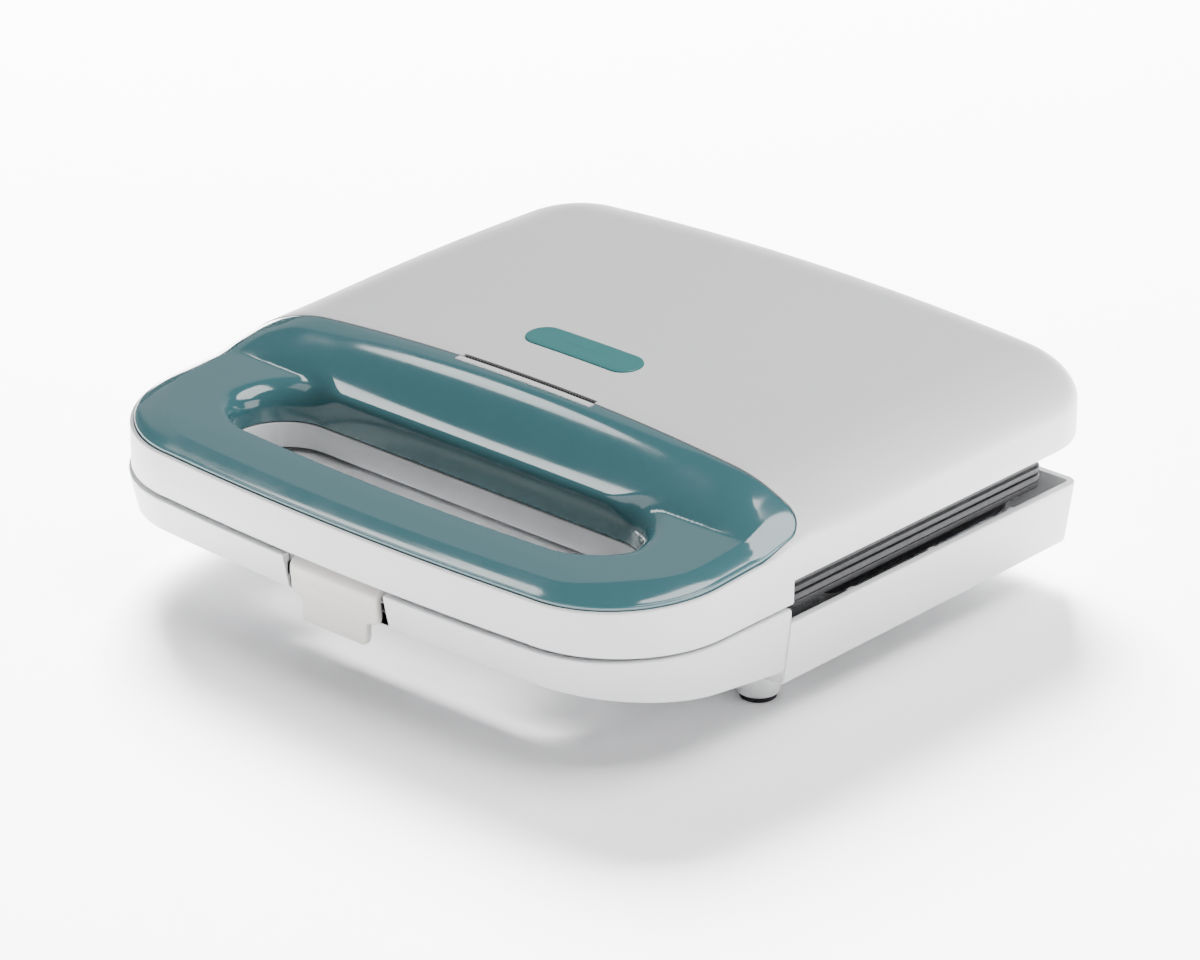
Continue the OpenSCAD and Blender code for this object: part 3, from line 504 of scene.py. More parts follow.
def add_sleeve(bm, x, y, z, r_out, r_in, length, edge=0.4):
    """A round sleeve along X about a place, its outer rims rounded."""
    half = length / 2
    profile = [(r_in, -half), (r_out - edge, -half), (r_out - 0.3 * edge, -half + 0.3 * edge),
               (r_out, -half + edge), (r_out, half - edge), (r_out - 0.3 * edge, half - 0.3 * edge),
               (r_out - edge, half), (r_in, half)]
    rings = [[at(x + px, y + cy, z + cz) for cy, cz in (turn(7.5 * k, r) for k in range(48))]
             for r, px in profile]
    join(bm, loft(rings))


def cutter(bm):
    """A bmesh as a temporary object that a boolean can use."""
    bmesh.ops.recalc_face_normals(bm, faces=bm.faces)
    obj = link("cutter", to_mesh("cutter", bm))
    return obj


def combine(obj, operation, tools):
    """Adds tools to a piece or takes them out of it, and removes them."""
    for tool in tools:
        mod = obj.modifiers.new("combine", "BOOLEAN")
        mod.operation, mod.solver, mod.object = operation, "EXACT", tool
        bpy.context.view_layer.update()
        evaluated = obj.evaluated_get(bpy.context.evaluated_depsgraph_get())
        done = bpy.data.meshes.new_from_object(evaluated)
        obj.modifiers.remove(mod)
        done.name, old = obj.data.name, obj.data
        obj.data = done
        bpy.data.meshes.remove(old)
        bpy.data.meshes.remove(tool.data)
    soften(obj.data, CUT_ANGLE)


def block_cutter(*corners):
    bm = bmesh.new()
    add_block(bm, *corners, edge=0.0)
    return cutter(bm)


LEANS = {"X": Matrix.Rotation(math.pi / 2, 4, "Y"), "Y": Matrix.Rotation(math.pi / 2, 4, "X"),
         "Z": Matrix.Identity(4)}


def rod_cutter(axis, place, r, length, segments=40):
    """A round bar along an axis about its middle, for a boolean."""
    bm = bmesh.new()
    bmesh.ops.create_cone(bm, cap_ends=True, segments=segments, radius1=r * MM, radius2=r * MM,
                          depth=length * MM, matrix=Matrix.Translation(place) @ LEANS[axis])
    return cutter(bm)


def add_turned(bm, x, y, section, count):
    """A hollow post about a vertical line; section is (radius, height) round its wall."""
    rings = [[at(x + cx, y + cy, z) for cx, cy in (turn(360 * k / count, r) for k in range(count))]
             for r, z in section]
    join(bm, loft(rings))


# -------- finishes
GRAIN_DEPTH = 0.1 * MM
NOISE_LOW, NOISE_HIGH = 0.3, 0.7         # most of a noise's values are between these


def new_finish(name, color):
    """A material with its node tree and its shader."""
    mat = bpy.data.materials.new(name)
    mat.use_nodes = True
    mat.diffuse_color = (*color, 1)
    return mat, mat.node_tree, mat.node_tree.nodes["Principled BSDF"]


def add_node(tree, kind, **values):
    """A new node with some of its inputs set."""
    node = tree.nodes.new("ShaderNode" + kind)
    set_inputs(node, **values)
    return node


def set_inputs(node, **values):
    for name, value in values.items():
        node.inputs[name.replace("_", " ")].default_value = value


def noise(tree, scale, detail=3.0, rough=0.55):
    node = add_node(tree, "TexNoise", Scale=scale, Detail=detail, Roughness=rough)
    coord = add_node(tree, "TexCoord")
    tree.links.new(coord.outputs["Object"], node.inputs["Vector"])
    return node.outputs["Fac"]


def spread_to(tree, source, low, high):
    node = add_node(tree, "MapRange", From_Min=NOISE_LOW, From_Max=NOISE_HIGH, To_Min=low, To_Max=high)
    tree.links.new(source, node.inputs["Value"])
    return node.outputs["Result"]


def color_mix(tree, source, a, b):
    """A colour between a and b; a may be a node's output."""
    node = tree.nodes.new("ShaderNodeMix")
    node.data_type = "RGBA"
    tree.links.new(source, node.inputs["Factor"])
    if isinstance(a, tuple):
        node.inputs["A"].default_value = (*a, 1)
    else:
        tree.links.new(a, node.inputs["A"])
    node.inputs["B"].default_value = (*b, 1)
    return node.outputs["Result"]


def mottle(tree, color, spread, scale):
    """Cloudy variation of a colour by a share of itself."""
    low = tuple(c * (1 - spread) for c in color)
    high = tuple(min(1.0, c * (1 + spread)) for c in color)
    return color_mix(tree, noise(tree, scale, 4), low, high)


def add_grain(tree, bsdf, strength, size):
    """Fine raised grain, its size in millimetres."""
    bump = add_node(tree, "Bump", Strength=strength, Distance=GRAIN_DEPTH)
    tree.links.new(noise(tree, 1 / (size * MM), 2, 0.6), bump.inputs["Height"])
    tree.links.new(bump.outputs["Normal"], bsdf.inputs["Normal"])


def clouded(name, color, spread, scale):
    mat, tree, bsdf = new_finish(name, color)
    tree.links.new(mottle(tree, color, spread, scale), bsdf.inputs["Base Color"])
    return mat, tree, bsdf


def add_shine(tree, bsdf, low, high, scale, detail=3.0):
    """Uneven shine, its roughness between low and high."""
    gloss = spread_to(tree, noise(tree, scale, detail), low, high)
    tree.links.new(gloss, bsdf.inputs["Roughness"])


def moulded(name, color, rough, grain, grain_size, spread=0.015, specular=0.5):
    """A moulded plastic with its mould's fine grain."""
    mat, tree, bsdf = clouded(name, color, spread, 22)
    add_shine(tree, bsdf, rough - 0.04, rough + 0.04, 120)
    set_inputs(bsdf, Specular_IOR_Level=specular)
    add_grain(tree, bsdf, grain, grain_size)
    return mat


def polished(name, color, rough, wave=0.02, coat=0.5, spread=0.025):
    """A glossy plastic or glass with a faint ripple."""
    mat, tree, bsdf = clouded(name, color, spread, 14)
    add_shine(tree, bsdf, rough - 0.025, rough + 0.035, 90, 5)
    set_inputs(bsdf, Coat_Weight=coat, Coat_Roughness=0.06)
    add_grain(tree, bsdf, wave, 2.5)
    return mat


def metal(name, color, rough, grain, grain_size, spread):
    """Bare metal with a fine rolled or plated surface."""
    mat, tree, bsdf = clouded(name, color, spread, 60)
    add_shine(tree, bsdf, rough - 0.06, rough + 0.08, 300)
    set_inputs(bsdf, Metallic=1.0)
    add_grain(tree, bsdf, grain, grain_size)
    return mat


def coated(name, color, fleck, rough):
    """A sprayed non-stick coating, pale flecks in a dark ground."""
    mat, tree, bsdf = new_finish(name, color)
    flecks = spread_to(tree, noise(tree, 1500, 2), 0.0, 0.28)
    both = color_mix(tree, flecks, mottle(tree, color, 0.12, 25), fleck)
    tree.links.new(both, bsdf.inputs["Base Color"])
    add_shine(tree, bsdf, rough - 0.08, rough + 0.08, 700)
    add_grain(tree, bsdf, 0.35, 0.5)
    return mat


white = moulded("white moulded plastic", (0.66, 0.665, 0.675), 0.40, 0.28, 0.6)
white_inside = moulded("white inner plastic", (0.60, 0.605, 0.61), 0.5, 0.3, 0.8, 0.02)
teal = polished("gloss teal plastic", (0.044, 0.128, 0.146), 0.12)
badge_teal = moulded("satin teal plastic", (0.035, 0.165, 0.17), 0.36, 0.08, 0.7, 0.02, 0.3)
cream = moulded("cream moulded plastic", (0.60, 0.585, 0.545), 0.36, 0.16, 0.6)
charcoal = coated("charcoal non-stick coating", (0.018, 0.018, 0.02), (0.06, 0.06, 0.063), 0.55)
rubber = moulded("black rubber", (0.02, 0.02, 0.021), 0.75, 0.5, 0.6, 0.15, 0.3)
gland_black = moulded("black nylon", (0.03, 0.03, 0.032), 0.5, 0.3, 0.6, 0.1)
smoked = moulded("smoked ribbed plastic", (0.016, 0.016, 0.018), 0.28, 0.12, 0.4, 0.08)
dark_grey = moulded("dark grey plastic", (0.035, 0.036, 0.04), 0.45, 0.3, 0.6, 0.08)
silicone = moulded("red silicone sleeve", (0.45, 0.05, 0.035), 0.45, 0.2, 0.5, 0.06)
ceramic = moulded("glazed ceramic", (0.72, 0.69, 0.60), 0.3, 0.12, 0.9, 0.03)
red_glass = polished("red lamp glass", (0.55, 0.05, 0.03), 0.12, spread=0.1)
green_glass = polished("green lamp glass", (0.06, 0.35, 0.10), 0.12, spread=0.1)
steel = metal("bright zinc steel", (0.55, 0.55, 0.56), 0.3, 0.12, 0.8, 0.06)
heater = metal("heater sheath steel", (0.23, 0.21, 0.19), 0.45, 0.25, 0.7, 0.2)
tin = metal("reflector sheet", (0.75, 0.76, 0.77), 0.24, 0.12, 1.5, 0.05)

SHOWN_NODES = (
    (steel, "deck_screws lower_plate_screws clamp_screws cover_screws upper_plate_screws"),
    (steel, "hinge_pins latch_pin thermostat thermal_fuse"),
    (rubber, "foot_pads"), (gland_black, "cord_gland"), (dark_grey, "lamp_holder"),
    (heater, "lower_element upper_element"), (tin, "lower_reflector upper_reflector"),
    (ceramic, "terminal_block cord_clamp"), (silicone, "base_wiring lid_wiring"),
    (red_glass, "power_lamp"), (green_glass, "ready_lamp"),
)


def finish_nodes():
    for mat, names in SHOWN_NODES:
        for obj in [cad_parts[name] for name in names.split()]:
            if not obj.material_slots:
                obj.data.materials.append(mat)
            for place in obj.material_slots:
                place.material = mat


# -------- the lid
# A section lists (moved outwards or in, raised) for the rings along an edge.
SLOT_STEP, SLOT_WALL, SLOT_EASE = 45.5, 2.0, 0.45
SLOT_ROUND, SLOT_ROUND_ENDS, SLOT_ROUND_FRONT = 2.2, 7.5, 1.5
ENDS_RANGE, BEHIND_RANGE = (54, 68), (27, 41)
COVER_OVERLAP, COVER_UNDER, COVER_FOOT = 0.5, 6.0, 1.3
LENS_HALF, LENS_FRONT, LENS_BACK, LENS_STRIP = 27.0, 82.4, 84.3, 80.0
LENS_CUT_BACK, LENS_CUT_LOW, LENS_CUT_TOP = 90, 60, 80
SKIN_PLACES = (0.42, 0.28, 0.17, 0.09, 0.03, 0.0)
FOOT_SECTION = ((0, 0.5), (0.15, 0.15), (0.5, 0), (WALL - 0.4, 0), (WALL - 0.1, 0.1), (WALL, 0.5))
LEDGE_SECTION = ((-1.2, -2.8), (-1.2, -1.6), (GAP, -1.6), (GAP, -0.4), (GAP + 0.12, -0.12))
BRIM_SECTION = ((-0.25, -0.05), (-0.07, -0.22), (0, -0.5))
STRIP_SECTION = ((0.1, -1.6), (0.1, -0.2), (0.35, 0.05), (2.2, 0.05), (2.4, -0.15), (2.4, -1.6))
TRAY_INSET, TRAY_BACK, TRAY_ROUND, BULKHEAD = 1.8, GRIP_DEPTH + 1.5, 0.8, 1.2
SHELF_INSET, SHELF_LOW = 1.9, SIDE_EDGE + 1.0


def lens_cutter(half, back):
    """Makes room for the smoked lens and the strip in front of it."""
    return block_cutter(-half, half, LENS_STRIP, back, LENS_CUT_LOW, LENS_CUT_TOP)


def make_lid_skin():
    """The lid's moulded skin: crown, walls, and the lip that carries the grip's cover."""
    plan = outline(0)
    lows = [step_height(y, LID_STEP, SEAM, SIDE_EDGE) for x, y in plan]
    brim = [lip_top(x, y) for x, y in cover_line(GAP)]
    middle = [(z + 0.6 + skin_top(x, y)) / 2 for z, (x, y) in zip(lows, plan)]
    rings = raise_all(fan(cover_line(GAP + 0.4), outline(SKIN_ROUND), 40, 2.0), skin_top)
    rings += raise_all(map(outline, SKIN_PLACES), skin_top)
    rings += [over(plan, middle)] + follow(outline, lows, FOOT_SECTION)
    rings += raise_all(fan(outline(WALL), cover_line(LEDGE_SECTION[0][0]), 12)[:-1], skin_inside)
    rings += follow(cover_line, brim, LEDGE_SECTION)
    skin = finish_piece(loft(rings), "lid_skin", "lid", white)
    combine(skin, "DIFFERENCE", [lens_cutter(LENS_HALF, LENS_BACK)])
    return skin


def add_lid_knuckles(bm):
    """The lid's two hinge barrels, each on a block under the back wall."""
    for side in (-1, 1):
        x = side * HINGE_X
        add_sleeve(bm, x, HINGE.y - FRONT, HINGE.z, KNUCKLE_R, PIN_ROOM, 12)
        add_block(bm, x - 6, x + 6, 200.3, 206.0, 39.4, SIDE_EDGE + 3, edge=0.5)


def add_latch_lug(bm):
    """The lug that holds the latch's pin, with its root in the tray."""
    low, half = PIN.z - 2, 5
    add_sleeve(bm, 0, PIN_DEPTH, PIN.z, 2.3, 1.03, 2 * half, edge=0.3)
    add_block(bm, -half, half, PIN_DEPTH + 1.6, 10.0, low, PIN.z + 1)
    add_block(bm, -half, half, PIN_DEPTH + 3.6, 10.0, low, TRAY + 0.5)


def make_lid_tray():
    """The grip's floor, the wall round its slot, the hinge and the latch's lug."""
    edge = panel_line(-TRAY_INSET, TRAY_BACK, LID_HALF)
    rings = raise_all(fan(edge, slot_line(TRAY_ROUND), 10), TRAY)
    for cx, cy in arc(TRAY_ROUND, 30, 60, 90):
        rings.append(raise_to(slot_line(TRAY_ROUND - cy), TRAY + TRAY_ROUND - cx))
    section = ((0, SLOT_STEP - 0.4), (0.12, SLOT_STEP - 0.12), (0.4, SLOT_STEP), (SLOT_WALL, SLOT_STEP),
               (SLOT_WALL, TRAY + WALL))
    rings += stack(slot_line, section) + [raise_to(edge, TRAY + WALL)]
    bm = loft(rings)
    inner = LID_HALF - TRAY_INSET - 0.1
    add_block(bm, -inner, inner, GRIP_DEPTH - BULKHEAD, GRIP_DEPTH + BULKHEAD, TRAY + 0.1, COVER_EDGE - 0.6)
    add_lid_knuckles(bm)
    add_latch_lug(bm)
    return finish_piece(bm, "lid_tray", "lid", white)


def make_lid_shelf():
    """The shelf behind the upper plate, between the walls of the lid."""
    front = PLATE_BACK + 1.0
    half = [(x, max(y, front)) for x, y in outline(SHELF_INSET)[:HALF_COUNT] if y > front - 4]
    loop = half + [(-x, y) for x, y in reversed(half) if x > 0]
    bm = loft([raise_to(loop, SHELF_LOW), raise_to(loop, SHELF_LOW + WALL)], closed=False)
    return finish_piece(bm, "lid_shelf", "lid", white_inside)


def roll_radius(x, y):
    """Radius of the roll into the slot, smallest in front."""
    behind = mix(SLOT_ROUND, SLOT_ROUND_ENDS, ease(abs(x), ENDS_RANGE))
    return mix(SLOT_ROUND_FRONT, behind, ease(y, BEHIND_RANGE))


def rolled_line(reach):
    """The cover's slot, moved outwards by a share of its roll's radius."""
    inner, widest = slot_line(SLOT_EASE), slot_line(SLOT_EASE + SLOT_ROUND_ENDS)
    shares = [reach * roll_radius(x, y) / SLOT_ROUND_ENDS for x, y in inner]
    return [(mix(a[0], b[0], t), mix(a[1], b[1], t)) for a, b, t in zip(inner, widest, shares)]


def roll_rings():
    radii = [roll_radius(x, y) for x, y in slot_line(SLOT_EASE)]
    rings = []
    for cx, cy in arc(1.0, *(7.5 * k for k in range(13))):
        loop = rolled_line(1 - cx)
        rings.append(over(loop, [cover_top(x, y) - r * (1 - cy) for (x, y), r in zip(loop, radii)]))
    return rings


def make_grip_cover():
    """The gloss cover of the grip, rolled over into the finger slot."""
    wall, overlap = slot_line(SLOT_WALL), SLOT_STEP + COVER_OVERLAP
    rings = [raise_to(slot_line(SLOT_EASE), overlap)] + roll_rings()
    rings += raise_all(fan(rolled_line(1), cover_line(-0.5), 50)[1:], cover_top)
    brim = [cover_top(x, y) for x, y in cover_line(-0.5)]
    foot = [lip_top(x, y) - COVER_FOOT for x, y in cover_line(GAP)]
    rings += follow(cover_line, brim, BRIM_SECTION) + follow(cover_line, foot, ((0, 0), (-1.7, 0)))
    rings += raise_all(fan(cover_line(-2.2), wall, 11)[:-1], cover_inside)
    under = [min(cover_inside(x, y), SLOT_STEP + COVER_UNDER) for x, y in wall]
    rings += [over(wall, under), raise_to(wall, overlap)]
    cover = finish_piece(loft(rings), "grip_cover", "lid", teal)
    combine(cover, "DIFFERENCE", [lens_cutter(LENS_HALF + 0.5, LENS_CUT_BACK)])
    return cover


def make_lens_strip():
    """The white strip in front of the smoked lens, let into the cover's back edge."""
    half, count = LENS_HALF + 0.4, 32
    rings = []
    for k in range(count + 1):
        x = mix(-half, half, k / count)
        rings.append([at(x, LENS_STRIP + y, crown(x, LENS_FRONT) + z) for y, z in STRIP_SECTION])
    return finish_piece(loft(rings, closed=False), "lens_strip", "lid", white)


# -------- the base
# WALL_SECTION lists (share of the wall's height, taken in by) down the outside of the wall.
WALL_SECTION = ((0.94, 0.05), (0.82, 0.35), (0.7, 0.7), (0.5, 1.2), (0.35, 1.65), (0.25, 1.92), (0.15, 2.2))
RIM_OUTSIDE = ((0.5, 0), (0.15, -0.15), (0, -0.5))
RIM_INSIDE = ((WALL, -0.4), (WALL - 0.12, -0.12), (WALL - 0.4, 0))
RIM_SWELL, RIM_RANGE = 0.3, (4, 20)
ROLL_IN, ROLL_WIDTH, ROLL_SHARE = 2.35, 1.9, 0.1     # the roll from the wall into the belly
PATCH_INSET, PATCH_FRONT = 5.5, 60                   # the flat underside of the grip
SLOT_ROLL, SLOT_THICK = 1.5, 2.0
FLOOR_INSET, FILLET_INSET, FILLET_SHARE = 7.0, 4.9, 0.2
CLEAR_FRONT, CLEAR_LOW, CLEAR_TOP = -6, 5, 45        # where cutters end, clear of the base
DECK_UNDER = DECK_LOW - 0.05
DECK_SCREWS = ((-45, 13), (45, 13), (-98, 44), (98, 44))
HEAD_R, POST_R, SHANK_R, HEAD_SEAT = 2.9, 4.6, 1.6, 3.0
FEET, FOOT_R, FOOT_WIDE, FOOT_LOW, FOOT_TOP = ((95.6, 78.5), (76, 188)), 6.4, 10.0, 2.1, 11.6
RIB_SHARES, RIB_WIDTH, RIB_DEPTH = (0.21, 0.52, 0.83), 3, 8


def base_belly(y):
    return step_height(y, BASE_STEP, under_front(y), BELLY)


def base_rim(y):
    return step_height(y, BASE_STEP, BASE_TOP + RIM_SWELL * ease(y, RIM_RANGE), BASE_RIM)


def grip_under(x, y):
    return under_front(y)


def grip_floor(x, y):
    return under_front(y) + WALL


def blend_rings(a, b, low, high, n):
    """Rings from the loop a to the loop b, their heights going from low to high."""
    shares = [k / n for k in range(1, n + 1)]
    return [over(between(a, b, t), [mix(v, w, t) for v, w in zip(low, high)]) for t in shares]


def wall_rings(belly, tops):
    def level(t):
        return [mix(a, b, t) for a, b in zip(belly, tops)]
    rings = follow(base_line, tops, RIM_OUTSIDE)
    rings += [over(base_line(inset), level(t)) for t, inset in WALL_SECTION]
    for cx, cy in arc(1.0, *range(10, 91, 10)):
        rings.append(over(base_line(ROLL_IN + ROLL_WIDTH * (1 - cx)), level(ROLL_SHARE * (1 - cy))))
    return rings


def under_rings(plan, belly):
    """The belly, the grip's underside, and the roll into the finger slot."""
    patch = panel_line(-PATCH_INSET, BASE_STEP + PATCH_INSET, BASE_HALF, BASE_PROUD, BASE_CORNER)
    low_patch = [base_belly(yb) if yb > PATCH_FRONT else under_front(y) for (x, y), yb in zip(patch, plan)]
    rings = blend_rings(base_line(ROLL_IN + ROLL_WIDTH), patch, belly, low_patch, 10)
    rings += raise_all(fan(patch, base_slot(SLOT_ROLL), 12), grip_under)
    for cx, cy in arc(SLOT_ROLL, 18, 36, 54, 72, 90):
        rings.append(raise_to(base_slot(SLOT_ROLL - cy), lambda x, y: under_front(y) + SLOT_ROLL - cx))
    return rings


def inner_rings(belly, tops):
    """The slot's wall, the floor, and the inside of the wall up to its rim."""
    slot = base_slot(SLOT_THICK)
    rings = [raise_to(base_slot(0), DECK_UNDER), raise_to(slot, DECK_UNDER), raise_to(slot, grip_floor)]
    near = [grip_floor(x, y) for x, y in slot]
    rings += blend_rings(slot, base_line(FLOOR_INSET), near, shift(belly, WALL), 8)
    fillet = [mix(a + WALL, b, FILLET_SHARE) for a, b in zip(belly, tops)]
    return rings + [over(base_line(FILLET_INSET), fillet)] + follow(base_line, tops, RIM_INSIDE)


def make_base_skin():
    """The base's moulded tub with the finger slot through its grip."""
    plan = [y for x, y in base_line(0)]
    tops, belly = [base_rim(y) for y in plan], [base_belly(y) for y in plan]
    rings = wall_rings(belly, tops) + under_rings(plan, belly) + inner_rings(belly, tops)
    skin = finish_piece(loft(rings), "base_skin", "base", white)
    combine(skin, "DIFFERENCE", notch_cutters() + screw_wells() + [inlet_cutter()])
    return skin


def notch_cutters():
    """The latch's recess in the front: shallow below the sill, deeper above it."""
    return [block_cutter(-NOTCH, NOTCH, CLEAR_FRONT, NOTCH_LIP, CLEAR_LOW, CLEAR_TOP),
            block_cutter(-NOTCH, NOTCH, CLEAR_FRONT, NOTCH_BACK, NOTCH_SILL, CLEAR_TOP)]


def screw_wells():
    return [rod_cutter("Z", at(x, y, under_front(y)), HEAD_R, 6) for x, y in DECK_SCREWS]


def inlet_cutter():
    low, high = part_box("cord_gland")
    return rod_cutter("Y", (low + high) / 2, (high.x - low.x) / 2 / MM + 0.1, 12)


def add_recess_walls(bm):
    """The lip the latch hooks under, and the shelf and walls round the recess."""
    out, back = NOTCH + WALL, NOTCH_BACK + WALL
    add_block(bm, -out, out, NOTCH_LIP, NOTCH_LIP + WALL, UNDER - 1.1, NOTCH_SILL, edge=0.3)
    add_block(bm, -out, out, NOTCH_LIP + 0.4, back, UNDER + 1.5, NOTCH_SILL, edge=0.3)
    add_block(bm, -out, out, NOTCH_BACK, back, UNDER + 1.5, DECK_UNDER, edge=0.3)
    for side in (-1, 1):
        xa, xb = sorted((side * NOTCH, side * out))
        add_block(bm, xa, xb, 1.2, back, NOTCH_SILL + 0.8, DECK_UNDER, edge=0.15)
        add_block(bm, xa, xb, 2.1, back, UNDER + 1.2, NOTCH_SILL + 1.0, edge=0.15)


def add_foot(bm, x, y):
    """A round foot that widens into the belly, hollow for its pad's stem."""
    shares = [k / 8 for k in range(1, 9)]
    section = [(6.0, 1.6), (6.25, 1.75), (FOOT_R, FOOT_LOW)]
    section += [(mix(FOOT_R, FOOT_WIDE, t ** 1.25), mix(FOOT_LOW, FOOT_TOP, t)) for t in shares]
    section += [(FOOT_WIDE - 1, FOOT_TOP + 1), (3.0, FOOT_TOP + 1), (3.0, 1.6)]
    add_turned(bm, x, y, section, 56)


def add_base_hinge(bm, side):
    """The base's hinge ears beside one of the lid's barrels."""
    for way in (-1, 1):
        x = side * HINGE_X + way * 9.3
        add_sleeve(bm, x, HINGE.y - FRONT, HINGE.z, KNUCKLE_R, PIN_ROOM - 0.01, 6)
        add_block(bm, x - 3, x + 3, 201.7, 206.2, BASE_RIM - 8, 34.0)


def add_screw_boss(bm, x, y):
    """The post for a deck screw, with a seat for its head."""
    low = under_front(y)
    seat, foot = low + HEAD_SEAT, low + 0.3
    section = [(HEAD_R, foot), (POST_R, foot), (POST_R, DECK_UNDER), (SHANK_R, DECK_UNDER),
               (SHANK_R, seat), (HEAD_R, seat)]
    add_turned(bm, x, y, section, 40)


def add_ribs(bm, side):
    wall = BASE_HALF - WALL
    xa, xb = sorted((side * (wall - 1.6), side * (wall + 0.4)))
    for place in RIB_SHARES:
        y = mix(PLATE_FRONT, PLATE_BACK, place)
        add_block(bm, xa, xb, y, y + RIB_WIDTH, BASE_RIM - RIB_DEPTH, BASE_RIM - 0.6)


def make_base_fittings():
    """The recess, the feet, the ribs, the hinge's ears and the screw posts."""
    bm = bmesh.new()
    add_recess_walls(bm)
    for side in (-1, 1):
        for x, y in FEET:
            add_foot(bm, side * x, y)
        add_ribs(bm, side)
        add_base_hinge(bm, side)
    for x, y in DECK_SCREWS:
        add_screw_boss(bm, x, y)
    return finish_piece(bm, "base_fittings", "base", white)


def deck_line(inset):
    """The plan of the panel over the base's grip, taken in by inset."""
    return panel_line(-inset, BASE_STEP + 0.4 + WALL, BASE_HALF, BASE_PROUD, BASE_CORNER)


def make_deck_panel():
    rings = raise_all(fan(deck_line(3.5), base_slot(0.6), 10), BASE_TOP)
    rings += stack(base_slot, ((0.18, BASE_TOP - 0.18), (0, BASE_TOP - 0.6), (0, DECK_LOW)))
    rings += stack(deck_line, ((3.7, DECK_LOW), (3.0, BASE_TOP - 0.5), (3.15, BASE_TOP - 0.15)))
    panel = finish_piece(loft(rings), "deck_panel", "base", white)
    combine(panel, "DIFFERENCE", [block_cutter(-NOTCH, NOTCH, CLEAR_FRONT, NOTCH_BACK, 30, CLEAR_TOP)])
    return panel


# -------- plates
POCKET_FRONT, POCKET_BACK = PLATE_FRONT + 8, PLATE_BACK - 8
RIB, RIDGE_CUT, POCKET_SIDE, POCKET_DEPTH = 4.0, 4.9, PLATE_HALF - 5, 10.0
POCKET_CORNER, POCKET_DRAFT, POCKET_BOTTOM, POCKET_FOOT = 6.0, 2.2, 4.0, 4.6
PLATE_SCREWS = [(x, y) for x in (-60, 60) for y in (PLATE_FRONT + 3.1, PLATE_BACK - 3.1)]


def rounded_triangle(corners, radius, n=14):
    """A triangle in plan with rounded corners, as a list of points."""
    loop = []
    points = [Vector(c) for c in corners]
    for i, p in enumerate(points):
        u, v = (points[i - 1] - p).normalized(), (points[(i + 1) % 3] - p).normalized()
        half = u.angle(v) / 2
        centre = p + (u + v).normalized() * radius / math.sin(half)
        start = p + u * radius / math.tan(half) - centre
        sweep = (math.pi - 2 * half) * (1 if u.cross(v) < 0 else -1)
        for k in range(n + 1):
            loop.append(centre + start @ Matrix.Rotation(-sweep * k / n, 2))
    return [(p.x, p.y) for p in loop]


def inset_triangle(corners, d, radius):
    points = [Vector(c) for c in corners]
    area = sum(points[i].cross(points[(i + 1) % 3]) for i in range(3))
    lines = []
    for i in range(3):
        along = (points[(i + 1) % 3] - points[i]).normalized()
        inwards = Vector((-along.y, along.x)) * (1 if area > 0 else -1)
        lines.append((points[i] + inwards * d, along))
    moved = []
    for i in range(3):
        (p, t), (q, u) = lines[i - 1], lines[i]
        moved.append(p + t * ((q - p).cross(u) / t.cross(u)))
    return rounded_triangle(moved, radius)


def pocket_triangles():
    """The corners of a plate's four pockets, two on each half with a ridge between them."""
    for s in (-1, 1):
        near, far = s * RIB, s * POCKET_SIDE
        yield ((near, POCKET_FRONT), (far - s * RIDGE_CUT, POCKET_FRONT), (near, POCKET_BACK - RIDGE_CUT))
        yield ((far, POCKET_BACK), (near + s * RIDGE_CUT, POCKET_BACK), (far, POCKET_FRONT + RIDGE_CUT))


def pocket_solid(corners, face, way, depth, grow=0.0, flare=1.0):
    """A drafted triangular hollow from a face; way is -1 for down and 1 for up."""
    def ring(inset, radius, z):
        return [at(x, y, z) for x, y in inset_triangle(corners, inset - grow, radius + grow)]
    rings = []
    if flare:
        rings.append(ring(-flare - 0.2, POCKET_CORNER + flare, face - way * 2.0))
    for cx, cy in arc(flare, *range(0, 91, 15)):
        rings.append(ring(cy - flare, POCKET_CORNER + flare - cy, face + way * (flare - cx)))
    start = depth - POCKET_BOTTOM + grow
    for cx, cy in arc(POCKET_BOTTOM, *range(0, 91, 15)):
        rings.append(ring(POCKET_DRAFT + POCKET_BOTTOM - cx, POCKET_FOOT, face + way * (start + cy)))
    return cutter(loft(rings, closed=False))


def plate_rect(inset):
    r = max(0.5, 5 - inset)
    x, ya, yb = PLATE_HALF - inset - r, PLATE_FRONT + inset + r, PLATE_BACK - inset - r
    loop = []
    for cx, cy, start in ((x, ya, -90), (x, yb, 0), (-x, yb, 90), (-x, ya, 180)):
        for k in range(13):
            px, py = turn(start + 7.5 * k, r)
            loop.append((cx + px, cy + py))
    return loop


def make_plate(name, body, face, way, skirt_inset, skirt_end):
    """A cast plate with four drafted pockets; way is the side of its back."""
    flange = face + way * PLATE_T
    inner = skirt_inset + PLATE_T
    sections = ((3.0, face), (0.7, face), (0.2, face + way * 0.2), (0.0, face + way * 0.7),
                (0.0, flange - way * 0.3), (0.3, flange), (skirt_inset - 0.4, flange),
                (skirt_inset, flange + way * 0.4), (skirt_inset, skirt_end), (inner, skirt_end),
                (inner, flange), (inner + 2, flange))
    piece = finish_piece(loft(stack(plate_rect, sections), closed=False), name, body, charcoal)
    backs = [pocket_solid(c, face + way, way, POCKET_DEPTH - 1.0, PLATE_T, 0.0) for c in pocket_triangles()]
    combine(piece, "UNION", backs)
    cuts = [pocket_solid(c, face, way, POCKET_DEPTH) for c in pocket_triangles()]
    cuts += [rod_cutter("Z", at(x, y, face), 2.75, 3.2) for x, y in PLATE_SCREWS]
    combine(piece, "DIFFERENCE", cuts)
    return piece


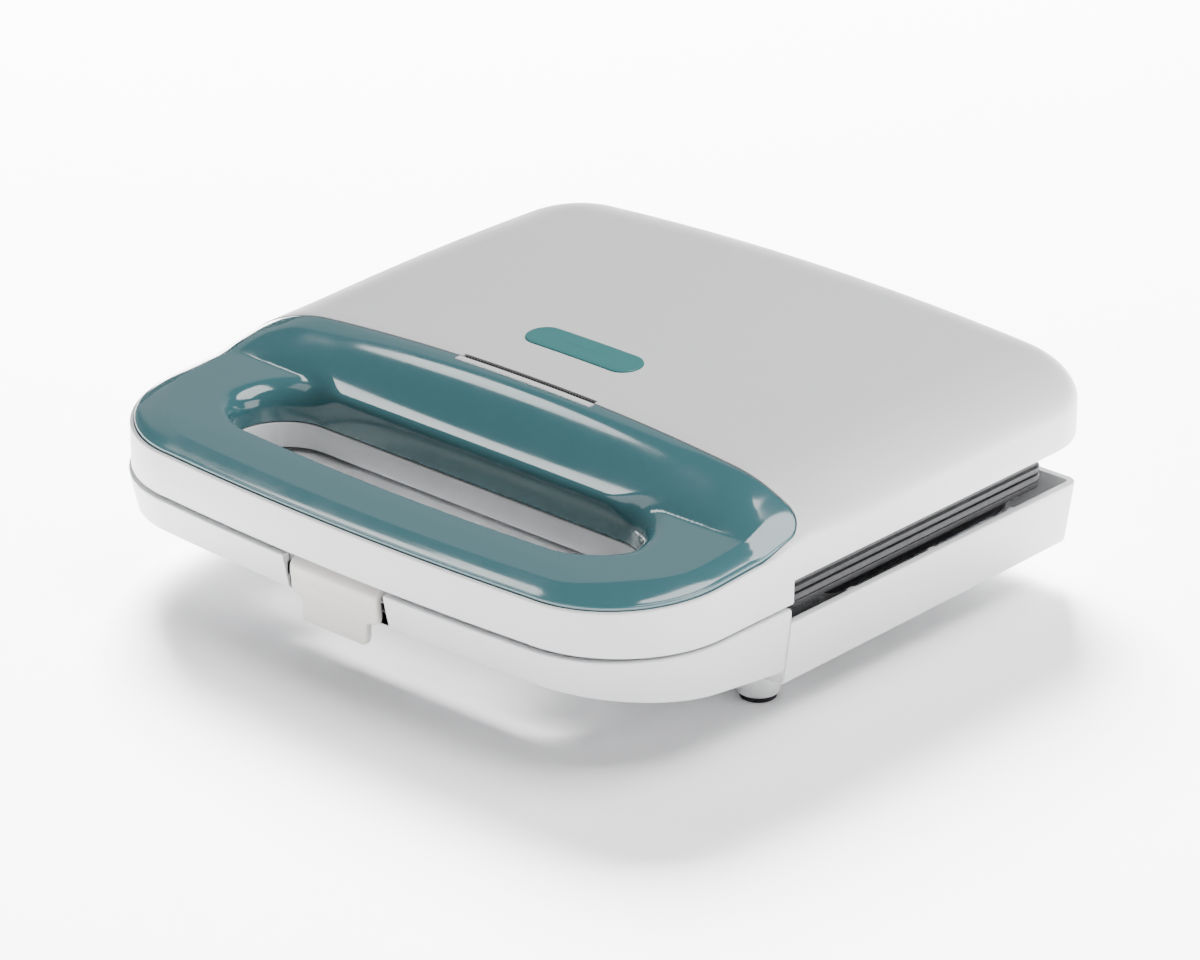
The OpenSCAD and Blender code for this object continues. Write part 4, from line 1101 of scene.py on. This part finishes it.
# -------- the latch
LATCH_LIP, LATCH_STEP, LATCH_T, LATCH_R = 13.4, 24.4, 2.3, 3.7
LIP_R, STEP_R, SIDE_R, TOP_R, FACE_R = 2.2, 1.4, 2.4, 1.0, 0.75
DISH, DISH_BELOW, DISH_ABOVE = 0.45, (1, 5), (0.6, 3.0)     # below the pin, above the latch's foot
CURL = 210.0                     # how far the plate's top curls round the pin, in degrees
CUT_STEP, CUTS = 0.5, 60         # the levels at which the flat plate is cut before it is curled


def corner(cx, cz, r, start, end, n=8):
    return [(cx + px, cz + pz) for px, pz in (turn(mix(start, end, k / n), r) for k in range(n + 1))]


def latch_line(inset):
    """The flat shape of the latch's plate, (x, z), taken in by inset."""
    top = PIN.z + math.radians(CURL) * LATCH_R
    right = corner(LATCH_LIP - LIP_R, LATCH_LOW + LIP_R, LIP_R - inset, -90, 0)
    right += corner(LATCH_LIP + STEP_R, LATCH_STEP - STEP_R, STEP_R + inset, 180, 90)
    right += corner(LATCH_HALF - SIDE_R, LATCH_STEP + SIDE_R, SIDE_R - inset, -90, 0)
    right += corner(LATCH_HALF - TOP_R, top - TOP_R, TOP_R - inset, 0, 90)
    return right + [(-x, z) for x, z in reversed(right)]


def curl(p):
    """Moves a place of the flat plate to its place on the latch."""
    z, depth = p.z / MM, p.y / MM - FRONT
    if z > PIN.z:
        cx, cz = turn(math.degrees((z - PIN.z) / LATCH_R), PIN_DEPTH - depth)
        return at(p.x / MM, PIN_DEPTH - cx, PIN.z + cz)
    dish = DISH * ease(PIN.z - z, DISH_BELOW) * ease(z - LATCH_LOW, DISH_ABOVE)
    return at(p.x / MM, depth + dish, z)


def curled_sheet():
    """The latch's plate: lofted flat, cut across at many levels, then curled."""
    face, back = LATCH_FACE, LATCH_FACE + LATCH_T
    sections = [(0.5, back), (0.15, back - 0.15), (0.0, back - 0.5)]
    sections += [(FACE_R - cx, face + FACE_R - cy) for cx, cy in arc(FACE_R, 0, 22.5, 45, 67.5, 90)]
    bm = loft([[at(x, y, z) for x, z in latch_line(inset)] for inset, y in sections], closed=False)
    for k in range(CUTS):
        level = LATCH_LOW + CUT_STEP * (k + 1)
        bmesh.ops.bisect_plane(bm, geom=bm.verts[:] + bm.edges[:] + bm.faces[:], dist=0.01 * MM,
                               plane_co=(0, 0, level * MM), plane_no=(0, 0, 1))
    for v in bm.verts:
        v.co = curl(v.co)
    return bm


def make_latch_plate():
    plate = finish_piece(curled_sheet(), "latch_plate", "latch", cream)
    bore = rod_cutter("X", at(0, PIN_DEPTH, PIN.z), 2.6, 10.6, 48)
    room = block_cutter(-5.3, 5.3, PIN_DEPTH - 1.2, PIN_DEPTH + 6, PIN.z - 2.9, PIN.z + 5)
    combine(plate, "DIFFERENCE", [bore, room])
    return plate


def make_latch_nose():
    """The nose that hooks under the base's lip, and the barrel's bushes."""
    bm = bmesh.new()
    add_block(bm, -9, 9, LATCH_FACE + LATCH_T - 0.4, NOTCH_LIP - 0.4, UNDER - 4, UNDER - 1.6, edge=0.5)
    for side in (-1, 1):
        add_sleeve(bm, side * 11.4, PIN_DEPTH, PIN.z, 1.6, 1.01, 11.6, edge=0.1)
    return finish_piece(bm, "latch_nose", "latch", cream)


# -------- badge and indicator strip
BADGE_HALF, BADGE_W, BADGE_Y, BADGE_UP = 22.25, 12.5, 107.8, 0.5


def pill(inset, n=26):
    r = BADGE_W / 2 - inset
    x = BADGE_HALF - BADGE_W / 2
    right = [(x * k / 16, -r) for k in range(16)]
    right += [(x + cx, cy) for cx, cy in (turn(mix(-90, 90, k / n), r) for k in range(n + 1))]
    right += [(x * (15 - k) / 16, r) for k in range(16)]
    left = [(-px, py) for px, py in reversed(right)][1:-1]
    return [(px, py + BADGE_Y) for px, py in right + left]


def make_badge():
    rings = [raise_to(pill(0.0), lambda x, y: crown(x, y) - 1.0), raise_to(pill(0.0), crown)]
    for cx, cy in arc(BADGE_UP, 22.5, 45, 67.5, 90):
        rings.append(raise_to(pill(BADGE_UP - cx), lambda x, y: crown(x, y) + cy))
    rings += [raise_to(pill(inset), lambda x, y: crown(x, y) + BADGE_UP) for inset in (2.0, 3.5, 5.0, 6.1)]
    return finish_piece(loft(rings, closed=False), "badge_pill", "lid", badge_teal)


def add_lens_blocks(bm, count, gap, end, drop, tall, crest):
    """A row of blocks along the lens, each below the crown at its crest."""
    half = LENS_HALF - 0.2
    for k in range(count):
        xa, xb = mix(-half, half, k / count), mix(-half, half, (k + 1) / count)
        z = crown(crest(xa, xb), LENS_BACK) - drop
        add_block(bm, xa + gap, xb - gap, LENS_FRONT + end, LENS_BACK - end, z - tall, z, edge=gap)


def make_ribbed_lens():
    """The smoked strip over the lamps, ribbed across."""
    bm = bmesh.new()
    add_lens_blocks(bm, 44, 0.2, 0.1, 0.6, 2.4, lambda a, b: (a + b) / 2)
    add_lens_blocks(bm, 10, 0.0, 0.05, 1.0, 2.0, lambda a, b: max(abs(a), abs(b)))
    return finish_piece(bm, "ribbed_lens", "lid", smoked)


# -------- putting it together
finish_nodes()
stand_for("lid_shell", "body_white", make_lid_skin(), make_lid_tray(), make_lid_shelf(),
          make_lens_strip())
stand_for("handle_cover", "grip_teal", make_grip_cover())
stand_for("base_shell", "body_white", make_base_skin(), make_base_fittings())
stand_for("grip_deck", "body_white", make_deck_panel())
stand_for("lower_plate", "plate_black",
          make_plate("lower_pocket_plate", "base", LOWER_FACE, -1, 0.4, LOWER_FACE - 4.4))
stand_for("upper_plate", "plate_black",
          make_plate("upper_pocket_plate", "lid", UPPER_FACE, 1, 0.8, SIDE_EDGE + 0.8))
stand_for("latch", "latch_cream", make_latch_plate(), make_latch_nose())
stand_for("badge", "badge_teal", make_badge())
stand_for("indicator_lens", "lens_smoked", make_ribbed_lens())


# -------- floor, light and camera
FLOOR_HALF, FLOOR_DROP = 6, 0.2 * MM


def make_floor():
    bm = bmesh.new()
    bmesh.ops.create_grid(bm, x_segments=1, y_segments=1, size=FLOOR_HALF)
    mesh = to_mesh("floor", bm)
    mesh.materials.append(moulded("pale floor", (0.94, 0.94, 0.945), 0.7, 0.05, 1.0, 0.004, 0.2))
    floor = link("floor", mesh)
    floor.location.z = -FLOOR_DROP
    return floor


def softbox(name, place, aim, size, size_y, power, shape="RECTANGLE", only=None):
    """A soft light; with only, it lights that one object."""
    data = bpy.data.lights.new(name, "AREA")
    data.shape, data.size, data.size_y = shape, size, size_y
    data.energy = power
    obj = link(name, data)
    obj.location = place
    obj.rotation_euler = (Vector(aim) - Vector(place)).to_track_quat("-Z", "Y").to_euler()
    if only:
        lit = bpy.data.collections.new(name)
        lit.objects.link(only)
        obj.light_linking.receiver_collection = lit


def make_world(strength):
    world = bpy.data.worlds.new("studio")
    bpy.context.scene.world = world
    world.use_nodes = True
    set_inputs(world.node_tree.nodes["Background"], Color=(1.0, 1.0, 1.0, 1), Strength=strength)


def make_camera(azimuth, elevation, distance, aim):
    """The camera on a sphere about a point, turned towards it."""
    az, el = math.radians(azimuth), math.radians(elevation)
    back = Vector((math.sin(az) * math.cos(el), -math.cos(az) * math.cos(el), math.sin(el)))
    data = bpy.data.cameras.new("camera")
    data.lens, data.sensor_width, data.clip_end = 150, 36, 50
    camera = link("camera", data)
    camera.location = aim + back * distance
    camera.rotation_euler = back.to_track_quat("Z", "Y").to_euler()
    bpy.context.scene.camera = camera


studio_floor = make_floor()
softbox("key softbox", (-0.94, 0.08, 1.2), (0, -0.03, 0.06), 0.36, 0.36, 3.0, "ELLIPSE")
softbox("overhead softbox", (0.45, 0.45, 1.7), (0, 0.02, 0), 1.2, 1.2, 46)
softbox("left panel", (-1.4, 1.5, 1.2), (0, 0, 0.05), 2.1, 1.3, 4.2)
softbox("right softbox", (1.7, 0.4, 0.8), (0, 0, 0.03), 1.0, 1.0, 13)
softbox("front fill", (-0.55, -0.75, 1.7), (0, 0, 0), 0.9, 0.9, 5)
softbox("floor light", (-1.9, 1.65, 1.85), (0, 0.1, 0), 1.3, 1.3, 1260, only=studio_floor)
make_world(0.12)
make_camera(42.32, 24.26, 1.52998, at(1.37, 113.38, 28.4))
